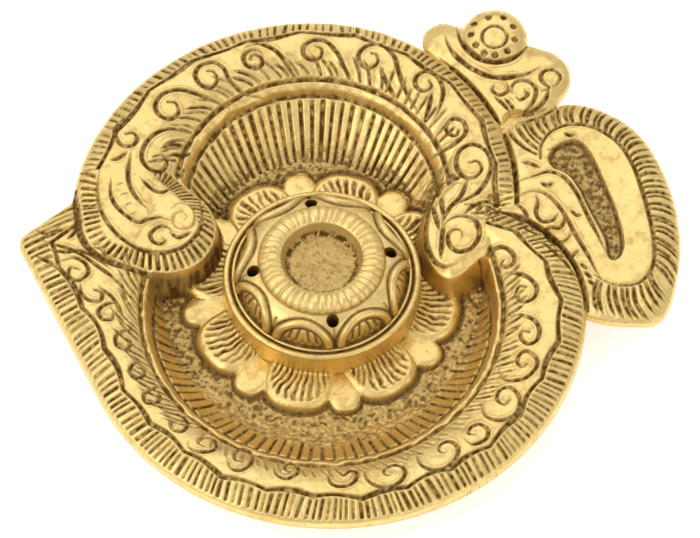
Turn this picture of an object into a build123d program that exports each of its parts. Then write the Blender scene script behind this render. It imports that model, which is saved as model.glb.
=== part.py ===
from build123d import *
import os
from math import cos, radians, sin

# Incense stick holder: an Om-shaped cast dish with a screwed-on stick dome.
# Millimetres, +Z up. The origin is on the dome's axis, on the face the dish stands on.

# Dish section, from the table up and from the bowl outwards
FLOOR_T = 2.5          # bowl floor
WALL_H = 7.3           # from the bowl floor up to the ridge
BAND_RISE = 3.7        # from the ridge up to the crest
RIM_DROP = 2.0         # from the crest down to the outer edge
CAST_T = 2.6           # casting under the wall and the band
EDGE_T = 2.5           # outer edge
RIM_W = 5.4            # crest to outer edge
CREST_LAND = 0.6       # level strip along the crest
BEAD_R = 1.1           # round bead on the ridge
FLOOR_R = 33.3
BASE_LEDGE = 0.7       # base outside the floor circle
WALL_BEND_SHARE = 0.5  # where the hollow wall bends, of its width, and how high it is there
WALL_BEND_RISE_SHARE = 0.39
BAND_BEND_SHARE = 0.4  # where the swelling band bends, of its width, and how high it is there
BAND_BEND_RISE_SHARE = 0.69

# Lower arm: ridge, crest and edge circles, and the pointed tail
LOWER_RIDGE_Y = -9.0
WALL_SPREAD = 3.5      # ridge radius over floor radius
BAND_W = 10.7
LOWER_EDGE_X = 2.0
LOWER_EDGE_Y = -8.0
TAIL_X = -60.5
TAIL_Y = 7.0
TAIL_TIP_R = 3.0
TAIL_CREST_R = 1.0
TAIL_CREST_BACK = 9.0  # the crest's tip behind the tail's tip

# Upper arm: ridge and edge circles, with a wider edge arc on the left
UPPER_X = -2.0
UPPER_Y = 19.0
UPPER_FLOOR_Y = 12.0   # centre of the arm's floor circle
UPPER_FLOOR_R = 21.0
UPPER_RIDGE_R = 27.8
UPPER_BAND_W = 10.2
UPPER_RIM_W = 4.4
UPPER_LEFT_R = 50.9

# Paisley end of the upper arm
PAISLEY_X = -32.7
PAISLEY_Y = 10.6
PAISLEY_R = 10.6
PAISLEY_HEAD_X = -43.0
PAISLEY_HEAD_Y = 24.0
PAISLEY_HEAD_R = 8.5
PAISLEY_TOP_DROP = 0.6  # its top below the crest
PAISLEY_RIM_W = 5.0
PAISLEY_RIM_DROP = 2.2

# Leaf and stem at the right side of the bowl
LEAF_X = 28.0
LEAF_Y = 11.5
LEAF_L = 23.0
LEAF_W = 13.0
LEAF_TURN_DEG = 84.0
LEAF_TOP_DROP = 1.0     # its top below the crest
LEAF_FLARE = 1.0        # its foot outside its top
STEM_ROOT_X = 34.0
STEM_ROOT_Y = 4.0
STEM_TIP_X = 27.0
STEM_TIP_Y = -1.6
STEM_ROOT_R = 2.8
STEM_TIP_R = 1.6

# Hook at the right: outline and slot as shares of its width and length
HOOK_X = 40.0
HOOK_Y = -12.6
HOOK_W = 35.3
HOOK_L = 54.5
HOOK_RIM_DROP = 1.8
HOOK_TOP_DROP = 0.8     # its top below the crest
HOOK_TOP_SHARE = 0.76   # its level top, drawn in towards a middle point
HOOK_MIDDLE_SHARES = (0.35, 0.5)
HOOK_OUTLINE_SHARES = (
    (0.0, 0.84),
    (0.14, 0.95),
    (0.34, 1.0),
    (0.56, 0.965),
    (0.75, 0.87),
    (0.89, 0.715),
    (0.97, 0.54),
    (1.0, 0.36),
    (0.975, 0.2),
    (0.93, 0.08),
    (0.86, 0.015),
    (0.76, 0.0),
    (0.5, 0.018),
)
HOOK_INNER_SHARES = ((0.3, 0.1), (0.0, 0.35))
SLOT_D = 1.6
SLOT_SHARES = (
    (0.225, 0.73),
    (0.27, 0.79),
    (0.4, 0.805),
    (0.5, 0.72),
    (0.585, 0.53),
    (0.665, 0.33),
    (0.63, 0.26),
    (0.565, 0.28),
    (0.465, 0.46),
    (0.345, 0.64),
)

# Crescent and bindu disc
HORN_X = 25.6
HORN_Y = 57.6
HORN_R = 4.4
LOBE_X = 45.4
LOBE_Y = 48.6
LOBE_R = 7.2
CRESCENT_ROOT_X = 43.0
CRESCENT_ROOT_Y = 39.5
CRESCENT_TOP_DROP = 1.2
CRESCENT_EDGE = 1.0
BINDU_X = 36.5
BINDU_Y = 58.0
BINDU_R = 7.0
BINDU_GROOVE_W = 1.3
BINDU_EYE_R = 2.65
BINDU_EYE_D = 0.5

# Lotus on the bowl floor
SEAT_LEDGE = 0.4        # seat outside the dome's collar
SEAT_RISE = 1.0
PETAL_COUNT = 8
PETAL_TURN_DEG = 33.0
PETAL_L = 8.6           # beyond the collar
PETAL_W = 15.6
PETAL_RISE = 2.2
PETAL_EDGE_RISE = 0.9
BUD_TURN_DEG = 10.5
BUD_L = 9.6
BUD_W = 9.0
BUD_RISE = 1.1

# Stick dome
COLLAR_R = 20.8
COLLAR_H = 6.5
COLLAR_BEAD_R = 0.7
SHOULDER_STEP = 1.3     # shoulder inside the collar
SHOULDER_H = 5.9        # from the collar's top to the ring's foot
SHOULDER_BULGE = 1.3
RING_R = 13.2
RING_H = 1.9
CUP_R = 8.7
CUP_FLOOR_R = 7.2
CUP_D = 3.5
DOME_T = 2.8
STICK_HOLE_R = 1.25
STICK_COUNT = 4
STICK_PITCH_R = 14.6
STICK_TURN_DEG = 9.0
ARCH_COUNT = 8
ARCH_R = 5.9
ARCH_BAND_W = 1.7
ARCH_RISE = 0.8
ARCH_TURN_DEG = 31.5

# Fixing: boss in the dome, platform and recess in the dish, screw and washer
BOSS_R = 5.5
BOSS_GAP = 0.3
PLATFORM_R = 10.0
PLATFORM_RISE = 3.0     # above the seat
RECESS_R = 6.5
RECESS_D = 3.5
SCREW_R = 2.0
SCREW_L = 8.0
SCREW_HEAD_R = 4.0
SCREW_HEAD_H = 2.3
SCREW_HEAD_DOME = 0.8
SCREW_SLOT_W = 1.1
SCREW_SLOT_D = 1.1
SCREW_HOLE_GAP = 0.25
THREAD_GAP = 0.1
TAP_SPARE = 0.6         # tapped hole past the screw's end
WASHER_R = 4.6
WASHER_T = 0.8

OVERRUN = 1.0           # how far a cut runs past the face it opens

# Heights and radii that follow from the sizes above
RIDGE_Z = FLOOR_T + WALL_H
CREST_Z = RIDGE_Z + BAND_RISE
WALL_BEND_Z = FLOOR_T + WALL_H * WALL_BEND_RISE_SHARE
BAND_BEND_Z = RIDGE_Z + BAND_RISE * BAND_BEND_RISE_SHARE
EDGE_Z = CREST_Z - RIM_DROP
EDGE_FOOT_Z = EDGE_Z - EDGE_T
BASE_R = FLOOR_R + BASE_LEDGE
LOWER_RIDGE_R = FLOOR_R + WALL_SPREAD
LOWER_CREST_R = LOWER_RIDGE_R + BAND_W
LOWER_EDGE_R = LOWER_CREST_R + CREST_LAND + RIM_W
UPPER_CREST_R = UPPER_RIDGE_R + UPPER_BAND_W
UPPER_EDGE_R = UPPER_CREST_R + CREST_LAND + UPPER_RIM_W
UPPER_LEFT_Y = UPPER_Y + UPPER_EDGE_R - UPPER_LEFT_R
SEAT_Z = FLOOR_T + SEAT_RISE
SEAT_R = COLLAR_R + SEAT_LEDGE
COLLAR_Z = SEAT_Z + COLLAR_H
SHOULDER_R = COLLAR_R - SHOULDER_STEP
RING_Z = COLLAR_Z + SHOULDER_H
TOP_Z = RING_Z + RING_H
CUP_Z = TOP_Z - CUP_D
PLATFORM_Z = SEAT_Z + PLATFORM_RISE
HEAD_TOP_Z = RECESS_D - WASHER_T
SCREW_END_Z = HEAD_TOP_Z + SCREW_L

FROM_BELOW = (Align.CENTER, Align.CENTER, Align.MIN)


def disc(x, y, z, r):
    """A round face at a height."""
    return Pos(x, y, z) * Circle(r)


def slab(outline, low, high):
    """An outline drawn at table height, standing from one height to another."""
    return Pos(0, 0, low) * extrude(outline, amount=high - low)


def bevelled_slab(outline, low, high, width, drop):
    """A slab whose top slopes down towards its outline."""
    block = slab(outline, low, high)
    top = block.faces().sort_by(Axis.Z)[-1]
    return chamfer(top.edges(), length=width, length2=drop, reference=top)


def post(x, y, low, high, r):
    """A round post between two heights."""
    return Pos(x, y, low) * Cylinder(r, high - low, align=FROM_BELOW)


def between(low, high, share):
    """A circle part of the way from one circle to another."""
    return [a + (b - a) * share for a, b in zip(low, high)]


def rings(circles, heights):
    """Circles as round faces, each at its height."""
    return [disc(x, y, z, r) for (x, y, r), z in zip(circles, heights)]


def bowl(floor, ridge, crest):
    """What is cut out above an arm: the hollow wall, and the swelling band run on past the crest."""
    wall_bend = between(floor, ridge, WALL_BEND_SHARE)
    band_bend = between(ridge, crest, BAND_BEND_SHARE)
    past = between(band_bend, crest, 1 + OVERRUN / (CREST_Z - BAND_BEND_Z))
    wall = loft(rings((floor, wall_bend, ridge), (FLOOR_T, WALL_BEND_Z, RIDGE_Z)), ruled=True)
    band = loft(rings((ridge, band_bend, past), (RIDGE_Z, BAND_BEND_Z, CREST_Z + OVERRUN)), ruled=True)
    return wall + band


def arm_shell(rim, ridge, crest, rim_width):
    """One arm before its bowl is cut: a foot, the band's underside and the overhanging rim."""
    bend_x, bend_y, bend_r = between(ridge, crest, BAND_BEND_SHARE)
    ridge_foot = disc(*ridge[:2], RIDGE_Z - CAST_T, ridge[2] + CAST_T)
    bend_foot = disc(bend_x, bend_y, BAND_BEND_Z - CAST_T, bend_r + CAST_T / 2)
    crest_foot = disc(*crest[:2], CREST_Z - CAST_T, crest[2])
    foot = loft([disc(0, 0, 0, BASE_R), ridge_foot, bend_foot, crest_foot], ruled=True)
    hollow = loft([disc(*crest[:2], EDGE_FOOT_Z, crest[2] + rim_width - EDGE_T), crest_foot], ruled=True)
    return foot + (rim - hollow)


def drawn_out(round_r, tip_x, tip_r):
    """The lower arm's circle, drawn out to a rounded point on the left."""
    arm = disc(LOWER_EDGE_X, LOWER_EDGE_Y, 0, round_r)
    tip = disc(tip_x, TAIL_Y, 0, tip_r)
    return make_hull(arm.edges() + tip.edges())


def lower_rim():
    """The lower arm's rim and tail, sloping from the crest down to the edge."""
    edge = drawn_out(LOWER_EDGE_R, TAIL_X, TAIL_TIP_R)
    crest = drawn_out(LOWER_CREST_R + CREST_LAND, TAIL_X + TAIL_CREST_BACK, TAIL_CREST_R)
    slope = loft([Pos(0, 0, EDGE_Z) * edge, Pos(0, 0, CREST_Z) * crest], ruled=True)
    return slab(edge, EDGE_FOOT_Z, EDGE_Z) + slope


def upper_rim():
    """Two arcs that meet at the top, closed inside the lower arm."""
    left = CenterArc((UPPER_X, UPPER_LEFT_Y), UPPER_LEFT_R, start_angle=90, arc_size=85)
    right = CenterArc((UPPER_X, UPPER_Y), UPPER_EDGE_R, start_angle=0, arc_size=90)
    closing = Line(left @ 1, right @ 0)
    outline = make_face([left, right, closing])
    return bevelled_slab(outline, EDGE_FOOT_Z, CREST_Z, UPPER_RIM_W, RIM_DROP)


def hook_points(shares, drawn_in_share=1):
    """Points of the hook from shares of its width and length, drawn in towards its middle."""
    middle_u, middle_v = HOOK_MIDDLE_SHARES
    points = []
    for u, v in shares:
        across = middle_u + (u - middle_u) * drawn_in_share
        along = middle_v + (v - middle_v) * drawn_in_share
        points.append((HOOK_X + HOOK_W * across, HOOK_Y + HOOK_L * along))
    return points


def hook_face(drawn_in_share=1):
    """The hook's smooth outline, closed by straight runs inside the arms."""
    outside = hook_points(HOOK_OUTLINE_SHARES, drawn_in_share)
    inside = hook_points(HOOK_INNER_SHARES, drawn_in_share)
    return make_face([Spline(*outside), Polyline(outside[-1], *inside, outside[0])])


def paisley():
    """The rounded end of the upper arm, standing in the bowl."""
    end = disc(PAISLEY_X, PAISLEY_Y, 0, PAISLEY_R)
    head = disc(PAISLEY_HEAD_X, PAISLEY_HEAD_Y, 0, PAISLEY_HEAD_R)
    outline = make_hull(end.edges() + head.edges())
    top = CREST_Z - PAISLEY_TOP_DROP
    return bevelled_slab(outline, FLOOR_T / 2, top, PAISLEY_RIM_W, PAISLEY_RIM_DROP)


def leaf():
    """The leaf that closes the bowl on the right, and the polished stem that runs down from it."""
    place = Pos(LEAF_X, LEAF_Y, 0) * Rot(0, 0, LEAF_TURN_DEG)
    top = CREST_Z - LEAF_TOP_DROP
    foot = Pos(0, 0, FLOOR_T / 2) * place * Ellipse(LEAF_L / 2 + LEAF_FLARE, LEAF_W / 2 + LEAF_FLARE)
    body = loft([foot, Pos(0, 0, top) * place * Ellipse(LEAF_L / 2, LEAF_W / 2)], ruled=True)
    root = Vector(STEM_ROOT_X, STEM_ROOT_Y, top - STEM_ROOT_R)
    tip = Vector(STEM_TIP_X, STEM_TIP_Y, FLOOR_T)
    run = Plane(origin=tip, z_dir=root - tip)
    stem = run * Cone(STEM_TIP_R, STEM_ROOT_R, (root - tip).length, align=FROM_BELOW)
    return body + stem + Pos(tip) * Sphere(STEM_TIP_R)


def hook():
    """The fluted hook at the right, with its sunk slot."""
    top = CREST_Z - HOOK_TOP_DROP
    edge = top - HOOK_RIM_DROP
    slope = loft([Pos(0, 0, edge) * hook_face(), Pos(0, 0, top) * hook_face(HOOK_TOP_SHARE)], ruled=True)
    body = slab(hook_face(), EDGE_FOOT_Z, edge) + slope
    slot = make_face(Spline(*hook_points(SLOT_SHARES), periodic=True))
    return body - slab(slot, top - SLOT_D, top + OVERRUN)


def crescent():
    """The crescent between its horn and its lobe, with the bindu disc in a round groove."""
    horn = disc(HORN_X, HORN_Y, 0, HORN_R)
    lobe = disc(LOBE_X, LOBE_Y, 0, LOBE_R)
    root = disc(CRESCENT_ROOT_X, CRESCENT_ROOT_Y, 0, HORN_R)
    outline = make_hull(horn.edges() + lobe.edges() + root.edges())
    top = CREST_Z - CRESCENT_TOP_DROP
    body = bevelled_slab(outline, EDGE_FOOT_Z, top, CRESCENT_EDGE, CRESCENT_EDGE)
    body -= post(BINDU_X, BINDU_Y, EDGE_Z, top + OVERRUN, BINDU_R + BINDU_GROOVE_W)
    bindu = post(BINDU_X, BINDU_Y, EDGE_FOOT_Z, CREST_Z, BINDU_R)
    bindu = fillet(bindu.edges().sort_by(Axis.Z)[-1], CRESCENT_EDGE)
    eye = post(BINDU_X, BINDU_Y, CREST_Z - BINDU_EYE_D, CREST_Z + OVERRUN, BINDU_EYE_R)
    return body + (bindu - eye)


def petal_ring(length, width, rise, turn_deg):
    """Domed petals round the seat: a ring with a curved top, cut to the petals' outlines."""
    tip_r = COLLAR_R + length
    root_r = COLLAR_R - SHOULDER_STEP
    with BuildSketch(Plane.XZ) as section:
        with BuildLine():
            foot = Polyline((tip_r, FLOOR_T + PETAL_EDGE_RISE), (tip_r, FLOOR_T / 2), (root_r, FLOOR_T / 2))
            side = Line(foot @ 1, (root_r, SEAT_Z))
            ThreePointArc(side @ 1, ((root_r + tip_r) / 2, FLOOR_T + rise), foot @ 0)
        make_face()
    ring = revolve(section.sketch, Axis.Z)
    petal = Pos(tip_r - width / 2, 0) * Circle(width / 2) + Pos(root_r / 2, 0) * Rectangle(root_r, width)
    outlines = [Rot(0, 0, turn_deg + k * 360 / PETAL_COUNT) * petal for k in range(PETAL_COUNT)]
    return [ring & slab(outline, 0, CREST_Z) for outline in outlines]


def om_plate():
    """The whole dish as one casting."""
    lower_ridge = (0, LOWER_RIDGE_Y, LOWER_RIDGE_R)
    lower_crest = (LOWER_EDGE_X, LOWER_EDGE_Y, LOWER_CREST_R)
    upper_ridge = (UPPER_X, UPPER_Y, UPPER_RIDGE_R)
    upper_crest = (UPPER_X, UPPER_Y, UPPER_CREST_R)
    lower_bowl = bowl((0, 0, FLOOR_R), lower_ridge, lower_crest)
    upper_bowl = bowl((UPPER_X, UPPER_FLOOR_Y, UPPER_FLOOR_R), upper_ridge, upper_crest)
    plate = arm_shell(lower_rim(), lower_ridge, lower_crest, RIM_W)
    plate += arm_shell(upper_rim(), upper_ridge, upper_crest, UPPER_RIM_W)
    plate += hook() + crescent()
    plate -= lower_bowl + upper_bowl - paisley() - leaf()
    lower_bead = Pos(0, LOWER_RIDGE_Y, RIDGE_Z) * Torus(LOWER_RIDGE_R, BEAD_R)
    upper_bead = Pos(UPPER_X, UPPER_Y, RIDGE_Z) * Torus(UPPER_RIDGE_R, BEAD_R)
    plate += lower_bead - upper_bowl
    plate += upper_bead - lower_bowl
    for petal in petal_ring(BUD_L, BUD_W, BUD_RISE, BUD_TURN_DEG):
        plate += petal
    for petal in petal_ring(PETAL_L, PETAL_W, PETAL_RISE, PETAL_TURN_DEG):
        plate += petal
    plate -= post(0, 0, SEAT_Z, TOP_Z, SEAT_R)
    plate += post(0, 0, FLOOR_T / 2, SEAT_Z, SEAT_R)
    plate += post(0, 0, FLOOR_T / 2, PLATFORM_Z, PLATFORM_R)
    plate -= post(0, 0, -OVERRUN, RECESS_D, RECESS_R)
    plate -= post(0, 0, 0, TOP_Z, SCREW_R + SCREW_HOLE_GAP)
    return plate


def shoulder_arc(rise):
    """The dome's curved shoulder in section, raised square to its slope."""
    run = SHOULDER_R - RING_R
    slope = (run**2 + SHOULDER_H**2) ** 0.5
    out = (SHOULDER_H / slope * rise, run / slope * rise)
    low = (SHOULDER_R + out[0], COLLAR_Z + out[1])
    high = (RING_R + out[0], RING_Z + out[1])
    bulge = (SHOULDER_H / slope * SHOULDER_BULGE, run / slope * SHOULDER_BULGE)
    middle = ((low[0] + high[0]) / 2 + bulge[0], (low[1] + high[1]) / 2 + bulge[1])
    return ThreePointArc(low, middle, high)


def dome_body():
    """The dome without its holes: outside, cup, boss and hollow in one revolved section."""
    with BuildSketch(Plane.XZ) as section:
        with BuildLine():
            collar = Polyline((COLLAR_R, SEAT_Z), (COLLAR_R, COLLAR_Z), (SHOULDER_R, COLLAR_Z))
            shoulder = shoulder_arc(0)
            crown_r = (RING_R + CUP_R) / 2
            ring = ThreePointArc(shoulder @ 1, (crown_r + RING_H / 2, TOP_Z - RING_H / 4), (crown_r, TOP_Z))
            lip = Polyline(ring @ 1, (CUP_R, TOP_Z), (CUP_FLOOR_R, CUP_Z), (0, CUP_Z), (0, PLATFORM_Z + BOSS_GAP))
            boss = Polyline(lip @ 1, (BOSS_R, PLATFORM_Z + BOSS_GAP), (BOSS_R, CUP_Z - DOME_T))
            roof = Line(boss @ 1, (CUP_R, CUP_Z - DOME_T))
            slope = Line(roof @ 1, (COLLAR_R - DOME_T, COLLAR_Z - DOME_T / 2))
            Polyline(slope @ 1, (COLLAR_R - DOME_T, SEAT_Z), collar @ 0)
        make_face()
    return revolve(section.sketch, Axis.Z)


def arches():
    """Raised arches round the shoulder, each a half ring standing on the collar."""
    with BuildSketch(Plane.XZ) as section:
        with BuildLine():
            under = shoulder_arc(-ARCH_RISE)
            over = shoulder_arc(ARCH_RISE)
            Line(under @ 0, over @ 0)
            Line(under @ 1, over @ 1)
        make_face()
    layer = revolve(section.sketch, Axis.Z)
    run = SHOULDER_R - RING_R
    square = Plane(origin=(SHOULDER_R, 0, COLLAR_Z), z_dir=(SHOULDER_H, 0, run))
    tube = Cylinder(ARCH_R, COLLAR_R) - Cylinder(ARCH_R - ARCH_BAND_W, COLLAR_R)
    arch = layer & (square * tube)
    return [Rot(0, 0, ARCH_TURN_DEG + k * 360 / ARCH_COUNT) * arch for k in range(ARCH_COUNT)]


def stick_holder():
    """The hollow dome with its collar bead, arches, stick holes and tapped boss."""
    dome = dome_body()
    dome += Pos(0, 0, COLLAR_Z) * Torus(COLLAR_R - COLLAR_BEAD_R, COLLAR_BEAD_R)
    for arch in arches():
        dome += arch
    for k in range(STICK_COUNT):
        turn = radians(STICK_TURN_DEG + k * 360 / STICK_COUNT)
        dome -= post(STICK_PITCH_R * cos(turn), STICK_PITCH_R * sin(turn), SEAT_Z, TOP_Z + OVERRUN, STICK_HOLE_R)
    dome -= post(0, 0, SEAT_Z, SCREW_END_Z + TAP_SPARE, SCREW_R + THREAD_GAP)
    return dome


def fixing_screw():
    """A slotted pan-head screw, head down."""
    head_foot = HEAD_TOP_Z - SCREW_HEAD_H
    with BuildSketch(Plane.XZ) as section:
        with BuildLine():
            shank = Polyline((0, SCREW_END_Z), (SCREW_R, SCREW_END_Z), (SCREW_R, HEAD_TOP_Z), (SCREW_HEAD_R, HEAD_TOP_Z))
            side = Line(shank @ 1, (SCREW_HEAD_R, head_foot + SCREW_HEAD_DOME))
            crown = (SCREW_HEAD_R * cos(radians(45)), head_foot + SCREW_HEAD_DOME * (1 - sin(radians(45))))
            dome = ThreePointArc(side @ 1, crown, (SCREW_R, head_foot))
            Polyline(dome @ 1, (0, head_foot), shank @ 0)
        make_face()
    body = revolve(section.sketch, Axis.Z)
    slot = Pos(0, 0, head_foot) * Box(SCREW_SLOT_W, 2 * SCREW_HEAD_R + OVERRUN, 2 * SCREW_SLOT_D)
    return body - slot


def washer():
    """A flat washer between the screw's head and the recess."""
    return post(0, 0, HEAD_TOP_Z, RECESS_D, WASHER_R) - post(0, 0, 0, PLATFORM_Z, SCREW_R + SCREW_HOLE_GAP)


os.makedirs("parts", exist_ok=True)
for make in (om_plate, stick_holder, fixing_screw, washer):
    piece = make()
    name = make.__name__
    solids = piece.solids()
    print(name, len(solids), "solid", round(piece.volume), "mm3", piece.bounding_box())
    export_step(solids[0] if len(solids) == 1 else Compound(children=solids), f"parts/{name}.step")
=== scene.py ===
# %% [markdown]
# # A cast Om incense holder
# The real object is a small temple dish: one thin casting in the shape of the Om sign, carved all over by
# hand tools in the pattern, with a separate stick dome screwed on from below. The gold tone is polished on
# what stands proud and is left brown-black in the cuts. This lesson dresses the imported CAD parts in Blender:
# the dish as a carved relief, the dome as a turned piece with its arches and flutes, then screw and washer.

# %% Load the frame
import math

import bmesh
import bpy
import numpy as np
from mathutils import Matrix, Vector


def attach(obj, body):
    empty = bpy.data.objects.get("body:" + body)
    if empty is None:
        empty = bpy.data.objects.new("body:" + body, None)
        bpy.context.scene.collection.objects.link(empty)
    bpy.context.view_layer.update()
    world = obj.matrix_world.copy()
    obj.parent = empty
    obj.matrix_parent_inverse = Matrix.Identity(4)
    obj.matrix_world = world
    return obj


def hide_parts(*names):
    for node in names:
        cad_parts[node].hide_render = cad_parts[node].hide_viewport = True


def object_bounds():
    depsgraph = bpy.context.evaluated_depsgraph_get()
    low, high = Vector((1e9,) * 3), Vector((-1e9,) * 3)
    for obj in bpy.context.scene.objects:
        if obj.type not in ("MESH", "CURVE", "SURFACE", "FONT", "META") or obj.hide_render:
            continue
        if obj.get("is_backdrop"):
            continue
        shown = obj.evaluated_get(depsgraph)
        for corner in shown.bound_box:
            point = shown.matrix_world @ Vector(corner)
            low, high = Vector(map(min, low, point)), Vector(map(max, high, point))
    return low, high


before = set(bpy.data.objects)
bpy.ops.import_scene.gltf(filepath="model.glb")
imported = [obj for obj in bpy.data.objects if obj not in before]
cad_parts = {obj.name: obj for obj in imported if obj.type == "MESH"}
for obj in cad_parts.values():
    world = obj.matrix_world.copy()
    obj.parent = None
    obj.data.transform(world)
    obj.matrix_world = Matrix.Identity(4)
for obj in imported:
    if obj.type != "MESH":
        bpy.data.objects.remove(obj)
cad_low, cad_high = (list(corner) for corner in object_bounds())
MM = 0.001
print("CAD box in mm:", [round(v / MM, 2) for v in cad_low + cad_high])

# %% [markdown]
# ## The shape of the dish
# A caster's pattern is drawn as a plan first and then given heights. The plan here is a set of circles and
# loops in millimetres, near to those the CAD plate is built from: two ridge circles, two crest circles and
# the outline. Heights are kept on a fine square grid, so that every later cut is a change of height.

# %% Plan sizes
FLOOR_Z, RIDGE_Z, CREST_Z, EDGE_Z, FOOT_Z = 2.5, 9.8, 13.5, 11.5, 9.0
CAST_T = 2.6
FLOOR = (0.0, 0.0, 33.3)
BACK_FLOOR = (-2.0, 12.0, 21.0)
LOWER_RIDGE = (0.0, -9.0, 36.8)
LOWER_CREST = (2.0, -8.0, 47.5)
LOWER_EDGE = (2.0, -8.0, 53.5)
TAIL_TIP = (-60.5, 7.0, 3.0)
UPPER_RIDGE = (-2.0, 19.0, 27.8)
UPPER_CREST = (-2.0, 19.0, 38.0)
UPPER_EDGE_RIGHT = (-2.0, 19.0, 43.0)
UPPER_EDGE_LEFT = (-2.0, 11.1, 50.9)
PAISLEY = ((-32.7, 10.6, 10.6), (-43.0, 24.0, 8.5), (-40.3, 11.2, 10.0))
SEAT_R = 21.2
STEP = 0.21
FAR = 99.0

columns = np.arange(cad_low[0] / MM - STEP, cad_high[0] / MM + 2 * STEP, STEP)
rows = np.arange(cad_low[1] / MM - STEP, cad_high[1] / MM + 2 * STEP, STEP)
X, Y = np.meshgrid(columns, rows)
print("relief grid", X.shape)


# %% Distances in the plan
def ramp(value, low, high):
    t = np.clip((value - low) / (high - low), 0, 1)
    return t * t * (3 - 2 * t)


def off_circle(circle):
    return np.hypot(X - circle[0], Y - circle[1]) - circle[2]


def bearing(x, y):
    """Direction of every grid point from (x, y), in degrees."""
    return np.degrees(np.arctan2(Y - y, X - x))


def off_hull(big, small):
    bx, by, b_radius = big
    reach = math.hypot(small[0] - bx, small[1] - by)
    ux, uy = (small[0] - bx) / reach, (small[1] - by) / reach
    along = (X - bx) * ux + (Y - by) * uy
    across = np.abs((Y - by) * ux - (X - bx) * uy)
    lean = (b_radius - small[2]) / reach
    stand = math.sqrt(1 - lean * lean)
    side = along * stand - across * lean
    loop = across * stand + along * lean - b_radius
    loop = np.where(side < 0, np.hypot(across, along) - b_radius, loop)
    return np.where(side > stand * reach, np.hypot(across, along - reach) - small[2], loop)


def smooth_line(points, closed=False, parts=6):
    p = np.array(points, float)
    if closed:
        p = np.vstack([p[-1], p, p[0], p[1]])
    else:
        p = np.vstack([2 * p[0] - p[1], p, 2 * p[-1] - p[-2]])
    t = (np.arange(parts) / parts)[:, None]
    spans = []
    for a, b, c, d in zip(p, p[1:], p[2:], p[3:]):
        spans.append(0.5 * (2 * b + (c - a) * t + (2 * a - 5 * b + 4 * c - d) * t**2
                            + (3 * b - a - 3 * c + d) * t**3))
    line = np.vstack(spans)
    return line if closed else np.vstack([line, p[-2]])


def window(line, margin):
    low = np.searchsorted(columns, line[:, 0].min() - margin)
    high = np.searchsorted(columns, line[:, 0].max() + margin)
    bottom = np.searchsorted(rows, line[:, 1].min() - margin)
    top = np.searchsorted(rows, line[:, 1].max() + margin)
    return slice(bottom, top), slice(low, high)


def off_outline(points, margin=8.0):
    line = smooth_line(points, closed=True)
    part = window(line, margin)
    x, y = X[part], Y[part]
    near = np.full(x.shape, FAR)
    inside = np.zeros(x.shape, bool)
    for (ax, ay), (bx, by) in zip(line, np.roll(line, -1, axis=0)):
        dx, dy = bx - ax, by - ay
        t = np.clip(((x - ax) * dx + (y - ay) * dy) / (dx * dx + dy * dy), 0, 1)
        near = np.minimum(near, np.hypot(x - ax - t * dx, y - ay - t * dy))
        crossing = (ay > y) != (by > y)
        inside ^= crossing & (x < ax + dx * (y - ay) / (dy if dy else STEP))
    result = np.full(X.shape, FAR)
    result[part] = np.where(inside, -near, near)
    return result


# %% Outlines of the parts of the sign
HOOK_CORNER, HOOK_W, HOOK_L = (40.0, -12.6), 35.3, 54.5
HOOK_OUTLINE = [(-.06, .9), (.14, .95), (.34, 1), (.56, .965), (.75, .87), (.89, .715), (.97, .54), (1, .36),
                (.975, .2), (.93, .08), (.86, .015), (.76, 0), (.5, .018), (.3, .1), (-.06, .35)]
HORN, LOBE, ROOT = (25.6, 57.6, 4.4), (45.4, 48.6, 7.2), (43.0, 39.5, 4.4)
BINDU = (36.5, 58.0, 7.0)
JOIN_RIGHT, JOIN_LEFT, JOIN_SLOPE = 12.0, 17.0, 0.18


def in_hook(shares):
    return [(HOOK_CORNER[0] + u * HOOK_W, HOOK_CORNER[1] + v * HOOK_L) for u, v in shares]


angle_low = bearing(*LOWER_EDGE[:2])
curl_in = 0.0085 * np.clip(angle_low + 4, 0, 45) ** 2 * (np.abs(angle_low) < 90)
off_lower = off_hull(LOWER_EDGE, TAIL_TIP)
off_lower_rim = off_lower + curl_in
off_upper_all = np.where(X > UPPER_RIDGE[0], off_circle(UPPER_EDGE_RIGHT), off_circle(UPPER_EDGE_LEFT))
off_upper = np.where(Y > np.where(X > 0, JOIN_RIGHT, JOIN_LEFT), off_upper_all, FAR)
off_hook = off_outline(in_hook(HOOK_OUTLINE))
CRESCENT_HULLS = ((LOBE, HORN), (LOBE, ROOT), (ROOT, HORN), ((40.0, 40.5, 5.5), (31.0, 50.5, 5.0)))
off_crescent = np.minimum.reduce([off_hull(a, b) for a, b in CRESCENT_HULLS])
off_bindu = off_circle(BINDU)
off_paisley = np.minimum.reduce([off_hull(a, b) for a, b in zip(PAISLEY, PAISLEY[1:] + PAISLEY[:1])])
off_all = np.minimum.reduce([off_lower, off_upper, off_hook, off_crescent, off_bindu])
above_join = Y - np.where(X > 0, JOIN_RIGHT + JOIN_SLOPE * X, JOIN_LEFT)
upper_side = (off_upper < 0) & (above_join > 0)

# %% Bowl, bands and rims
in_lower, in_upper = off_circle(LOWER_RIDGE), off_circle(UPPER_RIDGE)
COVE_POWER, WALL_POWER, EDGE_POWER = 2.3, 1.35, 1.6


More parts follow.
